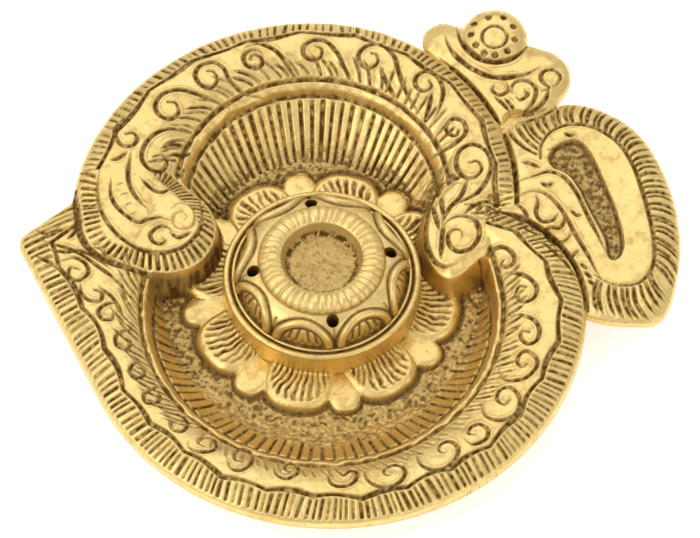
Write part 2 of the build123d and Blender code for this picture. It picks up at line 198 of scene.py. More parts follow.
def arm_surface(beyond_ridge, inside_crest, off_floor):
    t = np.clip(beyond_ridge / np.maximum(beyond_ridge + inside_crest, STEP), 0, 1)
    band = RIDGE_Z + (CREST_Z - RIDGE_Z) * (1 - (1 - t) ** COVE_POWER)
    band = np.where(inside_crest < 0, CREST_Z, band)
    w = np.clip(-beyond_ridge / np.maximum(-beyond_ridge + off_floor, STEP), 0, 1)
    wall = FLOOR_Z + (RIDGE_Z - FLOOR_Z) * (1 - w) ** WALL_POWER
    wall = np.where(off_floor < 0, FLOOR_Z, wall)
    return np.where(beyond_ridge > 0, band, wall)


lower_form = arm_surface(in_lower, -off_circle(LOWER_CREST) - curl_in, off_circle(FLOOR))
upper_form = arm_surface(in_upper, -off_circle(UPPER_CREST), off_circle(BACK_FLOOR))
form = np.minimum(lower_form, upper_form)


def rim_fall(off, width, drop=CREST_Z - EDGE_Z):
    return drop * np.clip(1 + off / width, 0, 1) ** EDGE_POWER


upper_share = ramp(above_join, -2.0, 3.0) * (off_upper_all < 0)
form -= upper_share * rim_fall(off_upper_all, 5.0) + (1 - upper_share) * rim_fall(off_lower_rim, 6.0)

# %% Hook, crescent and disc stand a little lower than the arms
HOOK_Z, CRESCENT_Z, BINDU_Z = 12.7, 12.3, 13.4
on_hook = (off_lower_rim > 0) & ~upper_side & (X > 30)
on_crescent = (np.minimum(off_crescent, off_bindu) < 0) & ~upper_side & (Y > 36) & (off_hook > 0)
form = np.where(on_hook, HOOK_Z - rim_fall(off_hook, 5.5, 1.8), form)
form = np.where(on_crescent, CRESCENT_Z - rim_fall(off_crescent, 4.0, 1.4), form)
form = np.where(off_bindu < 0, BINDU_Z - rim_fall(off_bindu, 3.0, 1.6), form)
smooth_form = form.copy()

# %% Paisley end of the upper arm, and the leaf on the right
PAISLEY_Z, PAISLEY_DROP, STEEP = 12.9, 2.2, 5.0
paisley_top = PAISLEY_Z - rim_fall(off_paisley, 5.0, PAISLEY_DROP)
paisley_top = np.where(off_paisley > 0, PAISLEY_Z - PAISLEY_DROP - STEEP * off_paisley, paisley_top)
on_paisley = (off_paisley < 0) & (Y < 27 - 0.2 * (X + 40))
form = np.where(X < -18, np.maximum(form, np.where(Y < 24, paisley_top, form)), form)
LEAF_OUTLINE = [(28.6, 22.4), (24.3, 18.6), (22.3, 14.4), (21.6, 10.3), (22.2, 5.4), (23.4, 2.2), (25.0, 0.2),
                (26.9, -0.8), (28.9, 0.0), (31.6, 2.2), (34.5, 4.6), (37, 12), (34, 19)]
LEAF_Z, LEAF_TILT, LEAF_EDGE_DROP, LEAF_SIDE = 12.5, 0.2, 0.5, 2.8
NOSE_EDGE_DROP, NOSE_SIDE, NOSE_CURVE, DOME_ROOM = 1.7, 1.2, 3.0, 21.5
off_leaf = off_outline(LEAF_OUTLINE)
beside_leaf = np.maximum(off_leaf, 0)
at_back = ramp(Y, 1.0, 6.0)
at_nose = 1 - at_back
leaf_top = LEAF_Z - LEAF_TILT * np.clip(30 - X, 0, 9)
leaf_top -= LEAF_EDGE_DROP * at_back * ramp(off_leaf, -1.5, 0.2)
leaf_top -= NOSE_EDGE_DROP * at_nose * ramp(off_leaf, -3.2, 0.3)
leaf_top -= at_back * LEAF_SIDE * beside_leaf
leaf_top -= at_nose * (NOSE_SIDE + NOSE_CURVE * beside_leaf) * beside_leaf
form = np.maximum(form, np.where(off_leaf < 6, leaf_top, 0))
form = np.where(np.hypot(X, Y) < DOME_ROOM, np.minimum(form, FLOOR_Z), form)

# %% [markdown]
# ## Cutting the carving
# On the real pattern every line was pressed or cut with a small gouge: wide in the middle and thin at the
# ends. `carve` does the same to the height grid along a smooth line. The lines are written as seen from the
# photo's camera on one plane, and `on_surface` slides each point along the line of sight to the carved form.

# %% The gouge
VIEW_Z, SLANT = 7.2, 0.613
LIP, LIP_AT, LIP_W = 0.2, 1.5, 0.7
cut, sunk, raised, grit = (np.zeros(X.shape) for _ in range(4))


def press(field, amount):
    """Takes a field to at least the given amount."""
    np.maximum(field, amount, out=field)


def hump(q):
    """Round profile of a gouge: 1 in the middle and 0 from q = 1 on."""
    return np.clip(1 - q * q, 0, 1)


def height_at(field, x, y):
    i = np.clip(np.round((np.asarray(x) - columns[0]) / STEP).astype(int), 0, len(columns) - 1)
    j = np.clip(np.round((np.asarray(y) - rows[0]) / STEP).astype(int), 0, len(rows) - 1)
    return field[j, i]


def on_surface(points):
    p = np.array(points, float)
    y = p[:, 1].copy()
    for _ in range(8):
        y = 0.5 * (y + p[:, 1] - (height_at(form, p[:, 0], y) - VIEW_Z) * SLANT)
    return np.column_stack([p[:, 0], y])


def carve(points, width=0.8, depth=0.5, tips=(0.35, 0.35), seen=True):
    """Cuts a groove along a smooth line, thin at its tips, with a small lip on both sides."""
    line = smooth_line(on_surface(points) if seen else points)
    lengths = np.hypot(*np.diff(line, axis=0).T)
    places = np.concatenate([[0], np.cumsum(lengths)]) / max(lengths.sum(), STEP)
    for k, ((ax, ay), (bx, by)) in enumerate(zip(line, line[1:])):
        part = window(line[k:k + 2], width)
        dx, dy = bx - ax, by - ay
        x, y = X[part] - ax, Y[part] - ay
        t = np.clip((x * dx + y * dy) / max(dx * dx + dy * dy, 1e-9), 0, 1)
        s = places[k] + t * (places[k + 1] - places[k])
        swell = np.minimum(tips[0] + (1 - tips[0]) * s * 4, tips[1] + (1 - tips[1]) * (1 - s) * 4)
        swell = np.clip(swell, 0.05, 1)
        q = np.hypot(x - t * dx, y - t * dy) / (0.5 * width * swell)
        cut[part] = np.maximum(cut[part], depth * swell * hump(q))
        lip = hump((q - LIP_AT) / LIP_W)
        raised[part] = np.maximum(raised[part], LIP * depth * swell * lip)


def carve_all(lines, **gouge):
    for points in lines:
        carve(points, **gouge)


def punch(points, radius, depth):
    """Round pits with a flat bottom."""
    for x, y in on_surface(points):
        q = np.hypot(X - x, Y - y) / radius
        press(cut, depth * np.clip(1 - q**4, 0, 1))


# %% Flutes and noise
def flutes(phase, where, pitch, width, depth, seed):
    """Grooves at whole numbers of phase, each with its own depth and wobble, as by hand."""
    draw = np.random.default_rng(seed).random(1000)
    number = np.round(phase).astype(int) % 1000
    off = np.abs(phase - np.round(phase)) * pitch
    own = 0.55 + 0.6 * draw[number]
    q = off / (0.5 * width * (0.75 + 0.5 * draw[number - 7]))
    return depth * own * where * hump(q)


def soft_noise(seed, size):
    """Smooth random heights with bumps about size millimetres across."""
    field = np.random.default_rng(seed).random(X.shape)
    reach = max(1, int(round(size / STEP / 2)))
    for axis in (0, 1):
        for _ in range(2):
            total = np.cumsum(np.insert(field, 0, 0, axis=axis), axis=axis)
            n = field.shape[axis]
            high = np.clip(np.arange(n) + reach + 1, 0, n)
            low = np.clip(np.arange(n) - reach, 0, n)
            span = (high - low).reshape((-1, 1) if axis == 0 else (1, -1))
            field = (np.take(total, high, axis) - np.take(total, low, axis)) / span
    return (field - field.mean()) / field.std()


fine_noise, mid_noise = soft_noise(3, 0.5), soft_noise(5, 1.4)
broad_noise, slow_noise = soft_noise(7, 3.2), soft_noise(9, 9.0)

# %% [markdown]
# ## Rims
# Both arms end in a rim of short gouge cuts across the edge, with a dark scalloped line inside it. The cuts
# are spaced by eye on the real pattern, so the spacing wanders and no two are equally deep.

# %% Where the rims run
LOWER_FLUTE_PITCH, UPPER_FLUTE_PITCH = 1.55, 1.7
UPPER_RIM_CENTRE, UPPER_RIM_R = (-2.0, 15.0), 46
on_upper_rim = (off_upper < 0) & (above_join > np.where(X > 0, -2.5, 0)) & ((X > -20) | (Y > 24))
on_lower = ~upper_side & (off_lower_rim < 0) & ~on_paisley & ((X > 34.5) | (X < 0) | (Y < 3)) & ~on_upper_rim

tail_reach = math.hypot(TAIL_TIP[0] - LOWER_EDGE[0], TAIL_TIP[1] - LOWER_EDGE[1])
tail_heading = math.atan2(TAIL_TIP[1] - LOWER_EDGE[1], TAIL_TIP[0] - LOWER_EDGE[0])
tail_turn = math.acos((LOWER_EDGE[2] - TAIL_TIP[2]) / tail_reach)
last_turn = math.degrees(tail_heading + tail_turn) - 360
tangent = (math.cos(math.radians(last_turn - 90)), math.sin(math.radians(last_turn - 90)))
touch = (LOWER_EDGE[0] + LOWER_EDGE[2] * math.cos(math.radians(last_turn)),
         LOWER_EDGE[1] + LOWER_EDGE[2] * math.sin(math.radians(last_turn)))
run = (X - touch[0]) * tangent[0] + (Y - touch[1]) * tangent[1]
turn_low = np.where(angle_low > 90, angle_low - 360, angle_low)
along_lower = np.where((run > 0) & (X < -20), math.radians(last_turn) * LOWER_EDGE[2] - run,
                       np.radians(turn_low) * LOWER_EDGE[2])
along_upper = np.radians(bearing(*UPPER_RIM_CENTRE)) * UPPER_RIM_R


# %% Rim cuts
def scallops(along, inset, rise, pitch, drift, drift_pitch):
    """How far inside the edge the scalloped line runs."""
    return inset + rise * np.abs(np.sin(math.pi * along / pitch)) + drift * np.sin(along / drift_pitch)


def rim(depth_in, along, inner, where, pitch, plain, seed):
    wander = 0.16 * np.sin(along / 2.3 + seed) + 0.12 * np.sin(along / 0.93)
    lean = 0.12 * np.sin(along / 7.0 + seed) * depth_in
    band = ramp(depth_in, plain, plain + 0.7) * (1 - ramp(depth_in, inner - 1.1, inner - 0.5)) * where
    ticks = flutes(along / pitch + wander + lean, band, pitch, 0.85, 0.6, seed)
    q = np.abs(depth_in - inner) / (0.55 + 0.16 * np.sin(along / 3.1))
    line = 0.85 * where * hump(q)
    return np.maximum(ticks, line)


PLAIN_EDGE = 0.5
inner_lower = scallops(along_lower, 5.2, 0.9, 11.0, 0.35, 5.3)
inner_upper = scallops(along_upper, 3.5, 0.8, 12.5, 0.3, 6.1)
press(cut, rim(-off_lower_rim, along_lower, inner_lower, on_lower, LOWER_FLUTE_PITCH, PLAIN_EDGE, 11))
press(cut, rim(-off_upper, along_upper, inner_upper, on_upper_rim, UPPER_FLUTE_PITCH, PLAIN_EDGE, 12))
seam = np.minimum(np.abs(off_lower_rim) + FAR * ~(on_hook | on_lower), np.abs(off_upper) + FAR * (Y < 16))
seam = np.where((off_all < -0.8) & (X > 18), seam, FAR)
press(cut, 0.9 * hump(seam / 0.55))

# %% [markdown]
# ## Ridge beads and bowl walls
# A polished cord runs along each ridge, with dark grooves on both sides. Below it the walls of the bowl are
# cut into bars: narrow and upright on the back wall, broader and shorter on the front one, with grit below.

# %% Beads and bars
BEAD_R, BEAD_RISE, BEAD_GROOVES = 0.85, 0.6, (-1.4, 1.3)
LOW_BAR_TURN, UP_BAR_TURN = 3.9, 3.35
lower_owns = (lower_form < upper_form + 0.4) & ~on_paisley & (off_leaf > 0)
upper_owns = (upper_form < lower_form + 0.4) & ~on_paisley & (off_leaf > 0)
for beyond, owns in ((in_lower, lower_owns), (in_upper, upper_owns)):
    cord = np.sqrt(hump(beyond / BEAD_R))
    press(raised, (BEAD_RISE + 0.08 * mid_noise) * cord * owns)
    for side in BEAD_GROOVES:
        q = np.abs(beyond - side) / (0.5 + 0.12 * mid_noise)
        press(cut, 0.6 * owns * hump(q))

fan_low = bearing(0.0, -9.0)
fan_up = bearing(-2.0, 5.0)
wall_low = lower_owns & (in_lower < -1.3) & (off_circle(FLOOR) > -0.3)
wall_up = upper_owns & (in_upper < -1.6) & (off_circle(BACK_FLOOR) > -0.3) & (fan_up > 41)
bars_low = fan_low / LOW_BAR_TURN + 0.12 * np.sin(fan_low / 4.1)
bars_up = fan_up / UP_BAR_TURN + 0.10 * np.sin(fan_up / 3.3)
reach_low = (1 - ramp(in_lower, -1.9, -1.3)) * ramp(in_lower + 0.5 * mid_noise, -8.2, -6.6)
reach_up = 1 - ramp(in_upper, -2.6, -1.6)
press(cut, flutes(bars_low, wall_low * reach_low, 2.5, 1.0, 0.75, 21))
press(grit, 0.8 * wall_low * (1 - ramp(in_lower, -8.2, -6.4)))
press(cut, flutes(bars_up, wall_up * reach_up, 2.0, 0.95, 0.8, 22))

# %% [markdown]
# ## Scrolls
# Between the cord and the rim both arms carry running scrolls: spirals on the flat outer shelf whose stems
# sweep down the hollow to the cord, with feathered cuts between the stems. Each was drawn freehand, so each
# has its own line here.

# %% Scrolls of the lower arm
LOWER_SCROLLS = [
    [(34.5, 4), (35.5, 7.5), (38, 8.6), (40, 7), (40.2, 4.8), (38.8, 3.7), (37.5, 4.3), (38, 5.3)],
    [(36.5, 1.5), (40, 2.3), (43.5, 1), (45, -1.5), (44.2, -4), (42, -4.7), (40.7, -3), (41.3, -1),
     (42.8, -1)],
    [(38.5, -8.4), (42, -8), (44.6, -9.5), (45.5, -12), (44.8, -14.3), (43, -15), (41.5, -13.5),
     (42, -11.8), (43.3, -12.2)],
    [(36.7, -21), (38.3, -23.7), (42, -23.6), (44.7, -21), (44.8, -18.5), (43, -16.8), (41.3, -17.6),
     (40.8, -19.5), (41.9, -20.6), (42.8, -19.8)],
    [(33, -29), (34, -32.4), (37, -33.7), (40.4, -32), (41.3, -28.5), (39.5, -25.7), (37.2, -26.3),
     (36.5, -28.6), (38, -29.8), (39.2, -28.6)],
    [(29.4, -38), (31.5, -39.5), (34.2, -38.2), (34.6, -36), (33, -34.7), (31.2, -35.3), (30.5, -36.9),
     (31.8, -37.2)],
    [(19.4, -41.3), (20.8, -44.6), (24.5, -45.8), (27.6, -43.3), (28.4, -40.5), (26.7, -38.8),
     (24.7, -39.6), (24.4, -41), (25.6, -41.4)],
    [(8.7, -45.3), (9.5, -48), (12.3, -49.8), (15.5, -49.2), (17.3, -47), (16.8, -45), (15, -44.6),
     (13.2, -45.4), (13, -46.6), (14, -47)],
    [(1.4, -46), (1.8, -48.6), (4.2, -49.7), (6.8, -48.5), (7.3, -46.4), (6, -45.9), (4.6, -47),
     (3.6, -46.2)],
    [(-9.7, -44.6), (-9.4, -46.8), (-7.2, -47.9), (-5, -46.6), (-5.1, -44.9), (-6.9, -44.4), (-7.7, -45.6),
     (-6.5, -46.2)],
    [(-19.6, -42.3), (-19, -45), (-17, -45.9), (-14.8, -44.5), (-14.4, -42.4), (-16, -41), (-17.9, -41.5),
     (-18, -43.2), (-16.6, -43.7)],
    [(-27.9, -38.6), (-27.2, -40.6), (-24.6, -41.5), (-22, -40.7), (-22.4, -38.6), (-24.6, -38),
     (-25.6, -39.2), (-24.4, -40)],
    [(-33.8, -32), (-31.6, -31.9), (-29.2, -32.8), (-27.8, -34.5), (-28.8, -36.3), (-30.9, -35.9),
     (-31.3, -34.1), (-29.8, -34)],
    [(-33, -25.4), (-35, -25.9), (-37, -27.4), (-36.4, -29.4), (-34.2, -29.3), (-33.6, -27.6),
     (-35.2, -27.3)],
    [(-37.4, -19.2), (-39.2, -20), (-40, -21.7), (-38.9, -23.4), (-37.2, -22.9), (-37, -21.2),
     (-38.3, -21)],
    [(-38.6, -12), (-41.3, -12), (-43, -13.4), (-42.7, -15.6), (-40.8, -16.4), (-39.8, -14.8),
     (-41, -13.8)],
    [(-42.5, -5.2), (-45, -5.4), (-46.7, -7), (-45.9, -9), (-44, -9.2), (-43.5, -7.6)],
    [(-55, 5), (-52, 6), (-49.5, 4.5), (-49, 2), (-51, 0.4), (-53, 1.6), (-52.6, 3.6), (-51, 3.2)],
    [(-50.4, 0), (-50.4, -2.4), (-48.7, -4.4), (-46.4, -4.6), (-46, -2.6), (-47.6, -1.8)],
]
carve_all(LOWER_SCROLLS, width=1.0, depth=0.65, tips=(0.25, 0.6))


# %% Feathered cuts between the scroll stems
FEATHER_FOOT = 2.2


def feathers(ridge, first, last, pitch, length, slant, seed, width=0.8, depth=0.5):
    """Short curved cuts that rise from the cord; slant is how far each runs along the cord."""
    draw = np.random.default_rng(seed)
    count = int(math.radians(last - first) * ridge[2] / pitch)
    for k in range(count):
        share = (k + draw.uniform(-0.25, 0.25)) / count
        turn = math.radians(first + share * (last - first))
        reach = length * draw.uniform(0.6, 1.1)
        sweep = slant * draw.uniform(0.8, 1.2) / ridge[2]
        line = []
        for out, part in ((0, 0), (0.45 * reach, 0.38), (reach, 1)):
            radius, a = ridge[2] + (FEATHER_FOOT + out), turn + sweep * part
            line.append((ridge[0] + radius * math.cos(a), ridge[1] + radius * math.sin(a)))
        carve(line, width=width, depth=depth * draw.uniform(0.7, 1.1), tips=(0.9, 0.1), seen=False)


feathers(LOWER_RIDGE, -40, 14, 1.7, 4.2, 1.6, 31)
feathers(LOWER_RIDGE, -128, -40, 1.7, 3.2, 1.2, 32, depth=0.35)
feathers(LOWER_RIDGE, -190, -128, 1.8, 5.5, -5.0, 33)
feathers(UPPER_RIDGE, 62, 112, 1.9, 4.6, 2.4, 34)
feathers(UPPER_RIDGE, 112, 168, 1.8, 5.4, 3.4, 35)
feathers(UPPER_RIDGE, 22, 62, 1.9, 5.0, 0.8, 36)

# %% Scrolls of the upper arm
UPPER_SCROLLS = [
    [(-13, 45.3), (-17, 47), (-19.5, 50), (-20.8, 53), (-23, 54.4), (-25.8, 53.5), (-26.8, 51.2),
     (-25.5, 48.8), (-23.3, 48.2), (-22.1, 49.9), (-22.8, 52), (-24.2, 52.3)],
    [(-12.2, 56), (-13.2, 57.4), (-15.3, 57.4), (-16.6, 55.8), (-16, 53.8), (-14.2, 53), (-12.6, 54),
     (-13, 55.8), (-14.6, 56.3), (-15.2, 55.2)],
    [(-16.2, 58.4), (-13.6, 59.2), (-10.6, 58), (-8.3, 55.6), (-6.6, 52.4), (-5, 49.6)],
    [(6.8, 49.6), (5, 53), (3.2, 57), (0.8, 59.8), (-2, 60), (-3.8, 58.6), (-3.8, 56.4), (-2, 55.2),
     (-0.3, 56), (-0.1, 58), (-1.4, 58.7)],
    [(20.6, 41.6), (18, 46.5), (16.2, 52), (15.2, 56), (12.5, 58.7), (9.5, 58.6), (7.7, 56.4), (8.3, 54),
     (10, 53.1), (11.7, 54.4), (11.5, 56.4), (10.4, 56.8)],
    [(12.2, 53.4), (13.4, 50), (15.4, 45.8)],
    [(23.6, 40), (25, 44), (25.6, 47.4), (24.5, 50.6), (22.2, 52.2), (20, 51), (19.8, 48.7), (21.4, 47.3),
     (23.1, 48.4), (22.6, 50)],
    [(23.2, 47.2), (22.6, 43.6), (21.6, 40)],
    [(22, 29.5), (25, 32), (28.3, 34.4), (30.3, 37), (29.8, 39.6), (27.8, 40.4), (26.2, 38.8), (26.6, 36.8),
     (28.2, 36.2), (28.8, 37.6)],
    [(24.8, 15.6), (27.5, 18.8), (31.5, 21.2), (34.4, 24.6), (35.7, 28.8), (34.5, 32.5), (31.6, 34),
     (28.9, 32.3), (28.2, 29), (29.6, 26.2), (32, 25.9), (33.6, 27.8), (32.8, 29.8), (31, 29.6)],
    [(-19.4, 42.4), (-23, 44.8), (-27, 46.8), (-30.5, 47.6), (-33.8, 46.4), (-35.2, 43.5), (-34, 41),
     (-31.8, 40.3), (-30.2, 42), (-30.8, 44.2), (-32.6, 44.6)],
    [(-40.4, 41.4), (-42.8, 39.4), (-43.7, 36.6), (-42.2, 33.9), (-40, 33.7), (-38.9, 35.4), (-39.8, 36.9),
     (-41.4, 36.6)],
    [(-28, 36.6), (-32, 37.8), (-35.5, 36.4), (-37.5, 33.4), (-37.9, 30.4), (-36.2, 27.8), (-33.8, 27.4),
     (-32.6, 29.4), (-33.6, 31.4), (-35.5, 31)],
    [(-34, 33), (-31.5, 34), (-28.4, 33.4)],
    [(-32, 31.6), (-30, 31.2), (-27.8, 31.4)],
]
carve_all(UPPER_SCROLLS, width=1.05, depth=0.7, tips=(0.3, 0.6))

# %% Paisley
PAISLEY_LINES = [
    [(-40.2, 32), (-40.8, 27.5), (-40.4, 23.8), (-38.8, 20.6), (-36.2, 17.6)],
    [(-44.6, 30), (-42.8, 30.6), (-41, 32.2)],
    [(-44.4, 25.4), (-44.3, 21), (-42, 17.2), (-38.6, 14.7), (-36.6, 15.4), (-34, 16), (-31.6, 15.2)],
    [(-38.2, 26), (-36.2, 23.4), (-33.6, 22.1), (-31.4, 23.2)],
    [(-31, 12.2), (-32.5, 13.6), (-34.5, 13.4), (-36, 11.7), (-35.4, 10), (-33.8, 9.4), (-32.8, 10.4),
     (-33.8, 11.2)],
    [(-32, 12.4), (-30, 11), (-27.4, 12.4)],
    [(-46.8, 28), (-47.2, 23), (-46.4, 17.6), (-43.8, 12.8), (-40.5, 9.6), (-36, 7.4), (-32, 7.4),
     (-28.2, 9.4), (-25.6, 13), (-25.1, 17), (-26.2, 20.6)],
    [(-30.4, 26), (-29.8, 26.8), (-28.6, 27.2)],
]
carve_all(PAISLEY_LINES, width=1.0, depth=0.65, tips=(0.3, 0.3))
carve([(-31.8, 18), (-30, 19.4), (-27.5, 18.8), (-26.6, 16.5), (-27.2, 14), (-29.5, 13.2), (-31.2, 14.6),
       (-30.9, 16.8), (-29.3, 17.5), (-28.3, 16.2), (-29.2, 15.2)], width=0.7, depth=0.3)
carve_all([[(-43.4 + 0.9 * k, 24 - 2.6 * k), (-41.6 + 0.9 * k, 24.4 - 2.4 * k)] for k in range(4)],
          width=0.4, depth=0.25)
around_paisley = bearing(-36, 15)
band = ramp(-off_paisley, 0.2, 0.9) * (1 - ramp(-off_paisley, 3.4, 4.0)) * on_paisley * (Y < 24)
hatch = around_paisley / 6.4 + 0.15 * np.sin(around_paisley / 9)
press(cut, flutes(hatch, band, 1.7, 0.95, 0.8, 41))
punch([(-29.8, 26.4)], radius=0.8, depth=0.9)
press(cut, 0.9 * hump((off_paisley - 0.9) / 0.8) * (X < -20) * (Y < 20))

# %% Tail, leaf and stem
TAIL_LINES = [
    [(-60, 12.8), (-58.3, 12), (-56, 12.6), (-55, 13.9)],
    [(-53.4, 10.6), (-52, 12), (-51.2, 14.2)],
    [(-59.4, 10.6), (-55, 9), (-51, 7.2), (-47, 4), (-43.5, 1), (-41, -2.5)],
    [(-57.5, 8.2), (-54, 7.4), (-50.5, 7.6), (-47.4, 6), (-44.6, 3.6)],
    [(-60, 6.6), (-57, 4.8), (-54.5, 2.8), (-52.4, 0.8)],
    [(-48, 8.6), (-46, 8), (-45.2, 6.4), (-43, 5), (-41.4, 3.2)],
    [(-46.6, -1), (-43.6, -4), (-41.4, -8)],
]
carve_all(TAIL_LINES, width=1.0, depth=0.65)
LEAF_LINES = [
    [(28.8, 26), (26.6, 24.8), (24, 21.4), (22.4, 17), (21.7, 12.6), (22, 8.6), (23.6, 5), (26.2, 3.8),
     (28.6, 4.8)],
    [(25.6, 14.8), (25.3, 12), (24.9, 6)],
    [(23, 18.4), (24, 15.6), (24.6, 13)],
    [(25, 21), (25.2, 19), (25.8, 16)],
    [(27, 26.8), (28.2, 25.6), (29.2, 26.4)],
    [(30.6, 26), (29.4, 21.6), (26.6, 18), (25.2, 14.6)],
    [(25.6, 14.4), (27.6, 16), (30.4, 16.2), (32.6, 14.6), (33, 11.4), (31.4, 8.4), (28.8, 7.6), (26.9, 9),
     (26.4, 11.4), (27.4, 13), (29.2, 12.8), (29.4, 11)],
    [(29.8, 16.6), (31.8, 18.8), (35, 19.8), (38, 19)],
    [(31.4, 17), (34.4, 17), (36.4, 15.2)],
    [(32.6, 17.5), (33.6, 18.9)],
    [(34.6, 17.2), (35.6, 18.8)],
    [(36.4, 16.6), (37.4, 18.2)],
]
carve_all(LEAF_LINES, width=1.1, depth=0.7)
carve_all([[(18.5 + 1.2 * k, 19 - 1.0 * k), (21.5 + 1.5 * k, 24 + 1.2 * k), (26 + 0.8 * k, 28.5 + 1.6 * k)]
           for k in range(4)], width=0.45, depth=0.25)

# %% [markdown]
# ## Hook, crescent and disc
# The hook at the right has a band of curved cuts round its outside, a smooth tongue and a punched slot. The
# crescent carries the bindu, a disc with a ring of punched dots round a turned eye.

# %% Hook
HOOK_INNER = [(46, 30.6), (46.2, 34), (48.2, 37.2), (51.5, 38.8), (55.5, 38.8), (59.5, 37), (63, 33.6),
              (65.4, 29), (67, 24), (68.4, 18), (69.5, 12), (69.8, 7), (69, 3), (66.6, 0), (63, -0.8),
              (60, 0), (57.4, 1.8)]
SLOT = [(48.6, 28.4), (47.6, 31), (49, 33.6), (51.2, 35), (54.4, 35), (56.6, 32), (58.2, 28.4), (59.8, 24),
        (61.6, 19), (63, 13), (63.4, 9), (62.6, 6.4), (61, 5.6), (59.8, 7), (59.2, 11), (57.4, 15),
        (55.4, 19.5), (53.8, 23.4), (51.8, 26.4)]
carve(HOOK_INNER, width=1.0, depth=0.65, tips=(0.6, 0.6))
HOOK_LINES = [
    [(41, 24.8), (44.6, 26.2), (47.8, 27.2), (51, 25.8), (53.6, 22), (55.6, 17), (58, 11.4), (59.6, 7.6)],
    [(41, 21.2), (44, 22.4), (47, 21.8), (49.6, 19), (51.6, 15.4), (53.6, 11), (55.6, 7), (57.6, 2.6),
     (58.6, 0.6)],
    [(39.8, 16), (41.6, 15.2), (43, 15.8), (42.4, 17.8), (40.6, 19.6)],
    [(45, 21.6), (45.4, 19.6), (45, 17), (46.2, 15), (48.4, 15.2), (49.6, 17)],
    [(50.6, 18), (51, 15.6), (50, 13.4), (48.2, 13.4), (47, 12), (47.8, 10.2), (50, 9.8), (51.8, 11),
     (52.2, 12.8)],
    [(44.4, 10.4), (47, 9.2), (49.4, 6.6), (51.4, 4.4), (53.6, 1)],
    [(42, 13.6), (44.4, 12.2), (46, 11.6)],
    [(53.8, 8), (52.4, 6.4), (51.6, 7)],
    [(54.2, 4.6), (55.6, 3.2)],
    [(55, 2.6), (56.6, 1)],
    [(55.8, 0.6), (57.4, -0.8)],
    [(51, 36.9), (52.4, 36.2), (53.4, 36.8)],
    [(46, 24.6), (47.4, 23.8), (48.6, 24.6)],
    [(52.4, 17.8), (53.4, 16.6), (54.6, 16.6)],
    [(47.6, 32.8), (49.2, 33), (50, 31), (49, 29)],
    [(41.6, 39.6), (44.4, 40.2), (47.6, 41.8), (50.6, 44.2)],
    [(42, 29.6), (44, 29.2), (46, 28.2)],
]
carve_all(HOOK_LINES, width=1.0, depth=0.65)

# %% Cuts round the hook, and its slot
inner_hook = smooth_line(on_surface(HOOK_INNER))
outer_hook = smooth_line(in_hook(HOOK_OUTLINE[:13]), parts=12)


def along_line(line, shares):
    places = np.concatenate([[0], np.cumsum(np.hypot(*np.diff(line, axis=0).T))])
    return np.column_stack([np.interp(np.asarray(shares) * places[-1], places, line[:, k]) for k in (0, 1)])


HOOK_CUTS = 52
shares = (np.arange(HOOK_CUTS) + 0.5) / HOOK_CUTS
for k, (start, end) in enumerate(zip(along_line(inner_hook, shares), along_line(outer_hook, shares))):
    side = np.array([-(end - start)[1], (end - start)[0]])
    bend = 0.13 * (1 if k < 0.78 * HOOK_CUTS else -1) + 0.04 * math.sin(5 * k)
    points = [start + t * (end - start) + 4 * t * (1 - t) * bend * side + 0.03 * math.sin(3 * k) * side
              for t in (0.08, 0.35, 0.65, 0.9 + 0.04 * math.sin(7 * k))]
    carve(points, width=0.95 + 0.2 * math.sin(2.4 * k), depth=0.6, tips=(0.8, 0.3), seen=False)
off_slot = off_outline(on_surface(SLOT))
press(sunk, 1.5 * (1 - ramp(off_slot, -1.3, 0.2)))
cut = np.where(off_slot < -0.3, 0, cut)
press(cut, 0.5 * hump((off_slot + 0.5) / 0.5))
press(grit, 1 - ramp(off_slot, -0.7, 0.1))

# %% Crescent and bindu
CRESCENT_LINES = [
    [(26, 61.4), (26.8, 58.6), (29, 55.4), (32, 52.8), (35.6, 51), (39.4, 50.8), (43, 51.6), (46, 53.4)],
    [(28.4, 63), (29.6, 59.4), (32, 56.4), (35, 54.6), (38.4, 54.6), (41.4, 56), (43.6, 58.6)],
]
carve_all(CRESCENT_LINES, width=1.3, depth=0.8, tips=(0.25, 0.25))
CRESCENT_SCROLLS = [
    [(46.4, 47.2), (48, 48.2), (47, 49.2), (46.2, 50.8), (47, 52.4), (49, 52.6), (50.4, 51), (49.6, 49),
     (48.6, 48.4)],
    [(48, 48.4), (47.4, 45.6), (45.4, 43), (42.4, 41)],
    [(40.2, 46.8), (40.2, 48.8), (41.8, 50), (44, 49.6), (45.2, 47.6), (44.6, 44.6), (42.8, 42.2),
     (40.4, 40.8)],
    [(41, 46), (42, 45.2), (43.4, 46.4), (42.8, 47.8)],
    [(36.4, 49), (36, 47.6), (37.6, 46.4), (39.4, 47.6), (39.2, 49.4)],
    [(36.4, 46), (38, 44.4), (39.6, 42)],
    [(38.6, 45.6), (40, 43.6), (40.6, 42.2)],
]
carve_all(CRESCENT_SCROLLS, width=1.0, depth=0.6)
DOTS = [(32.2, 64.2), (35.2, 65.7), (31.5, 61.5), (32.5, 58.9), (34.3, 56.8), (36.6, 56.4), (39.2, 57.5),
        (40.8, 60.3), (40.5, 63.6), (38.4, 65.7)]
punch(DOTS, radius=0.75, depth=0.8)
EYE_R, EYE_LINE = 2.65, 0.36
eye_x, eye_y = on_surface([(36.5, 60.9)])[0]
press(cut, 0.5 * hump(off_circle((eye_x, eye_y, EYE_R)) / EYE_LINE))

# %% [markdown]
# ## Lotus floor
# The floor round the dome is punched all over to a gritty stipple. Eight large petals with fanned veins and
# eight plain buds between them stand up from it, their lips polished.

# %% Petals and stipple
PETALS, PETAL_TURN, BUD_TURN = 8, 33.0, 10.5
radius0 = np.hypot(X, Y)
floor_ring = (radius0 > SEAT_R - 1) & (radius0 < 35) & (form < FLOOR_Z + 2.5)
petals = np.zeros(X.shape)
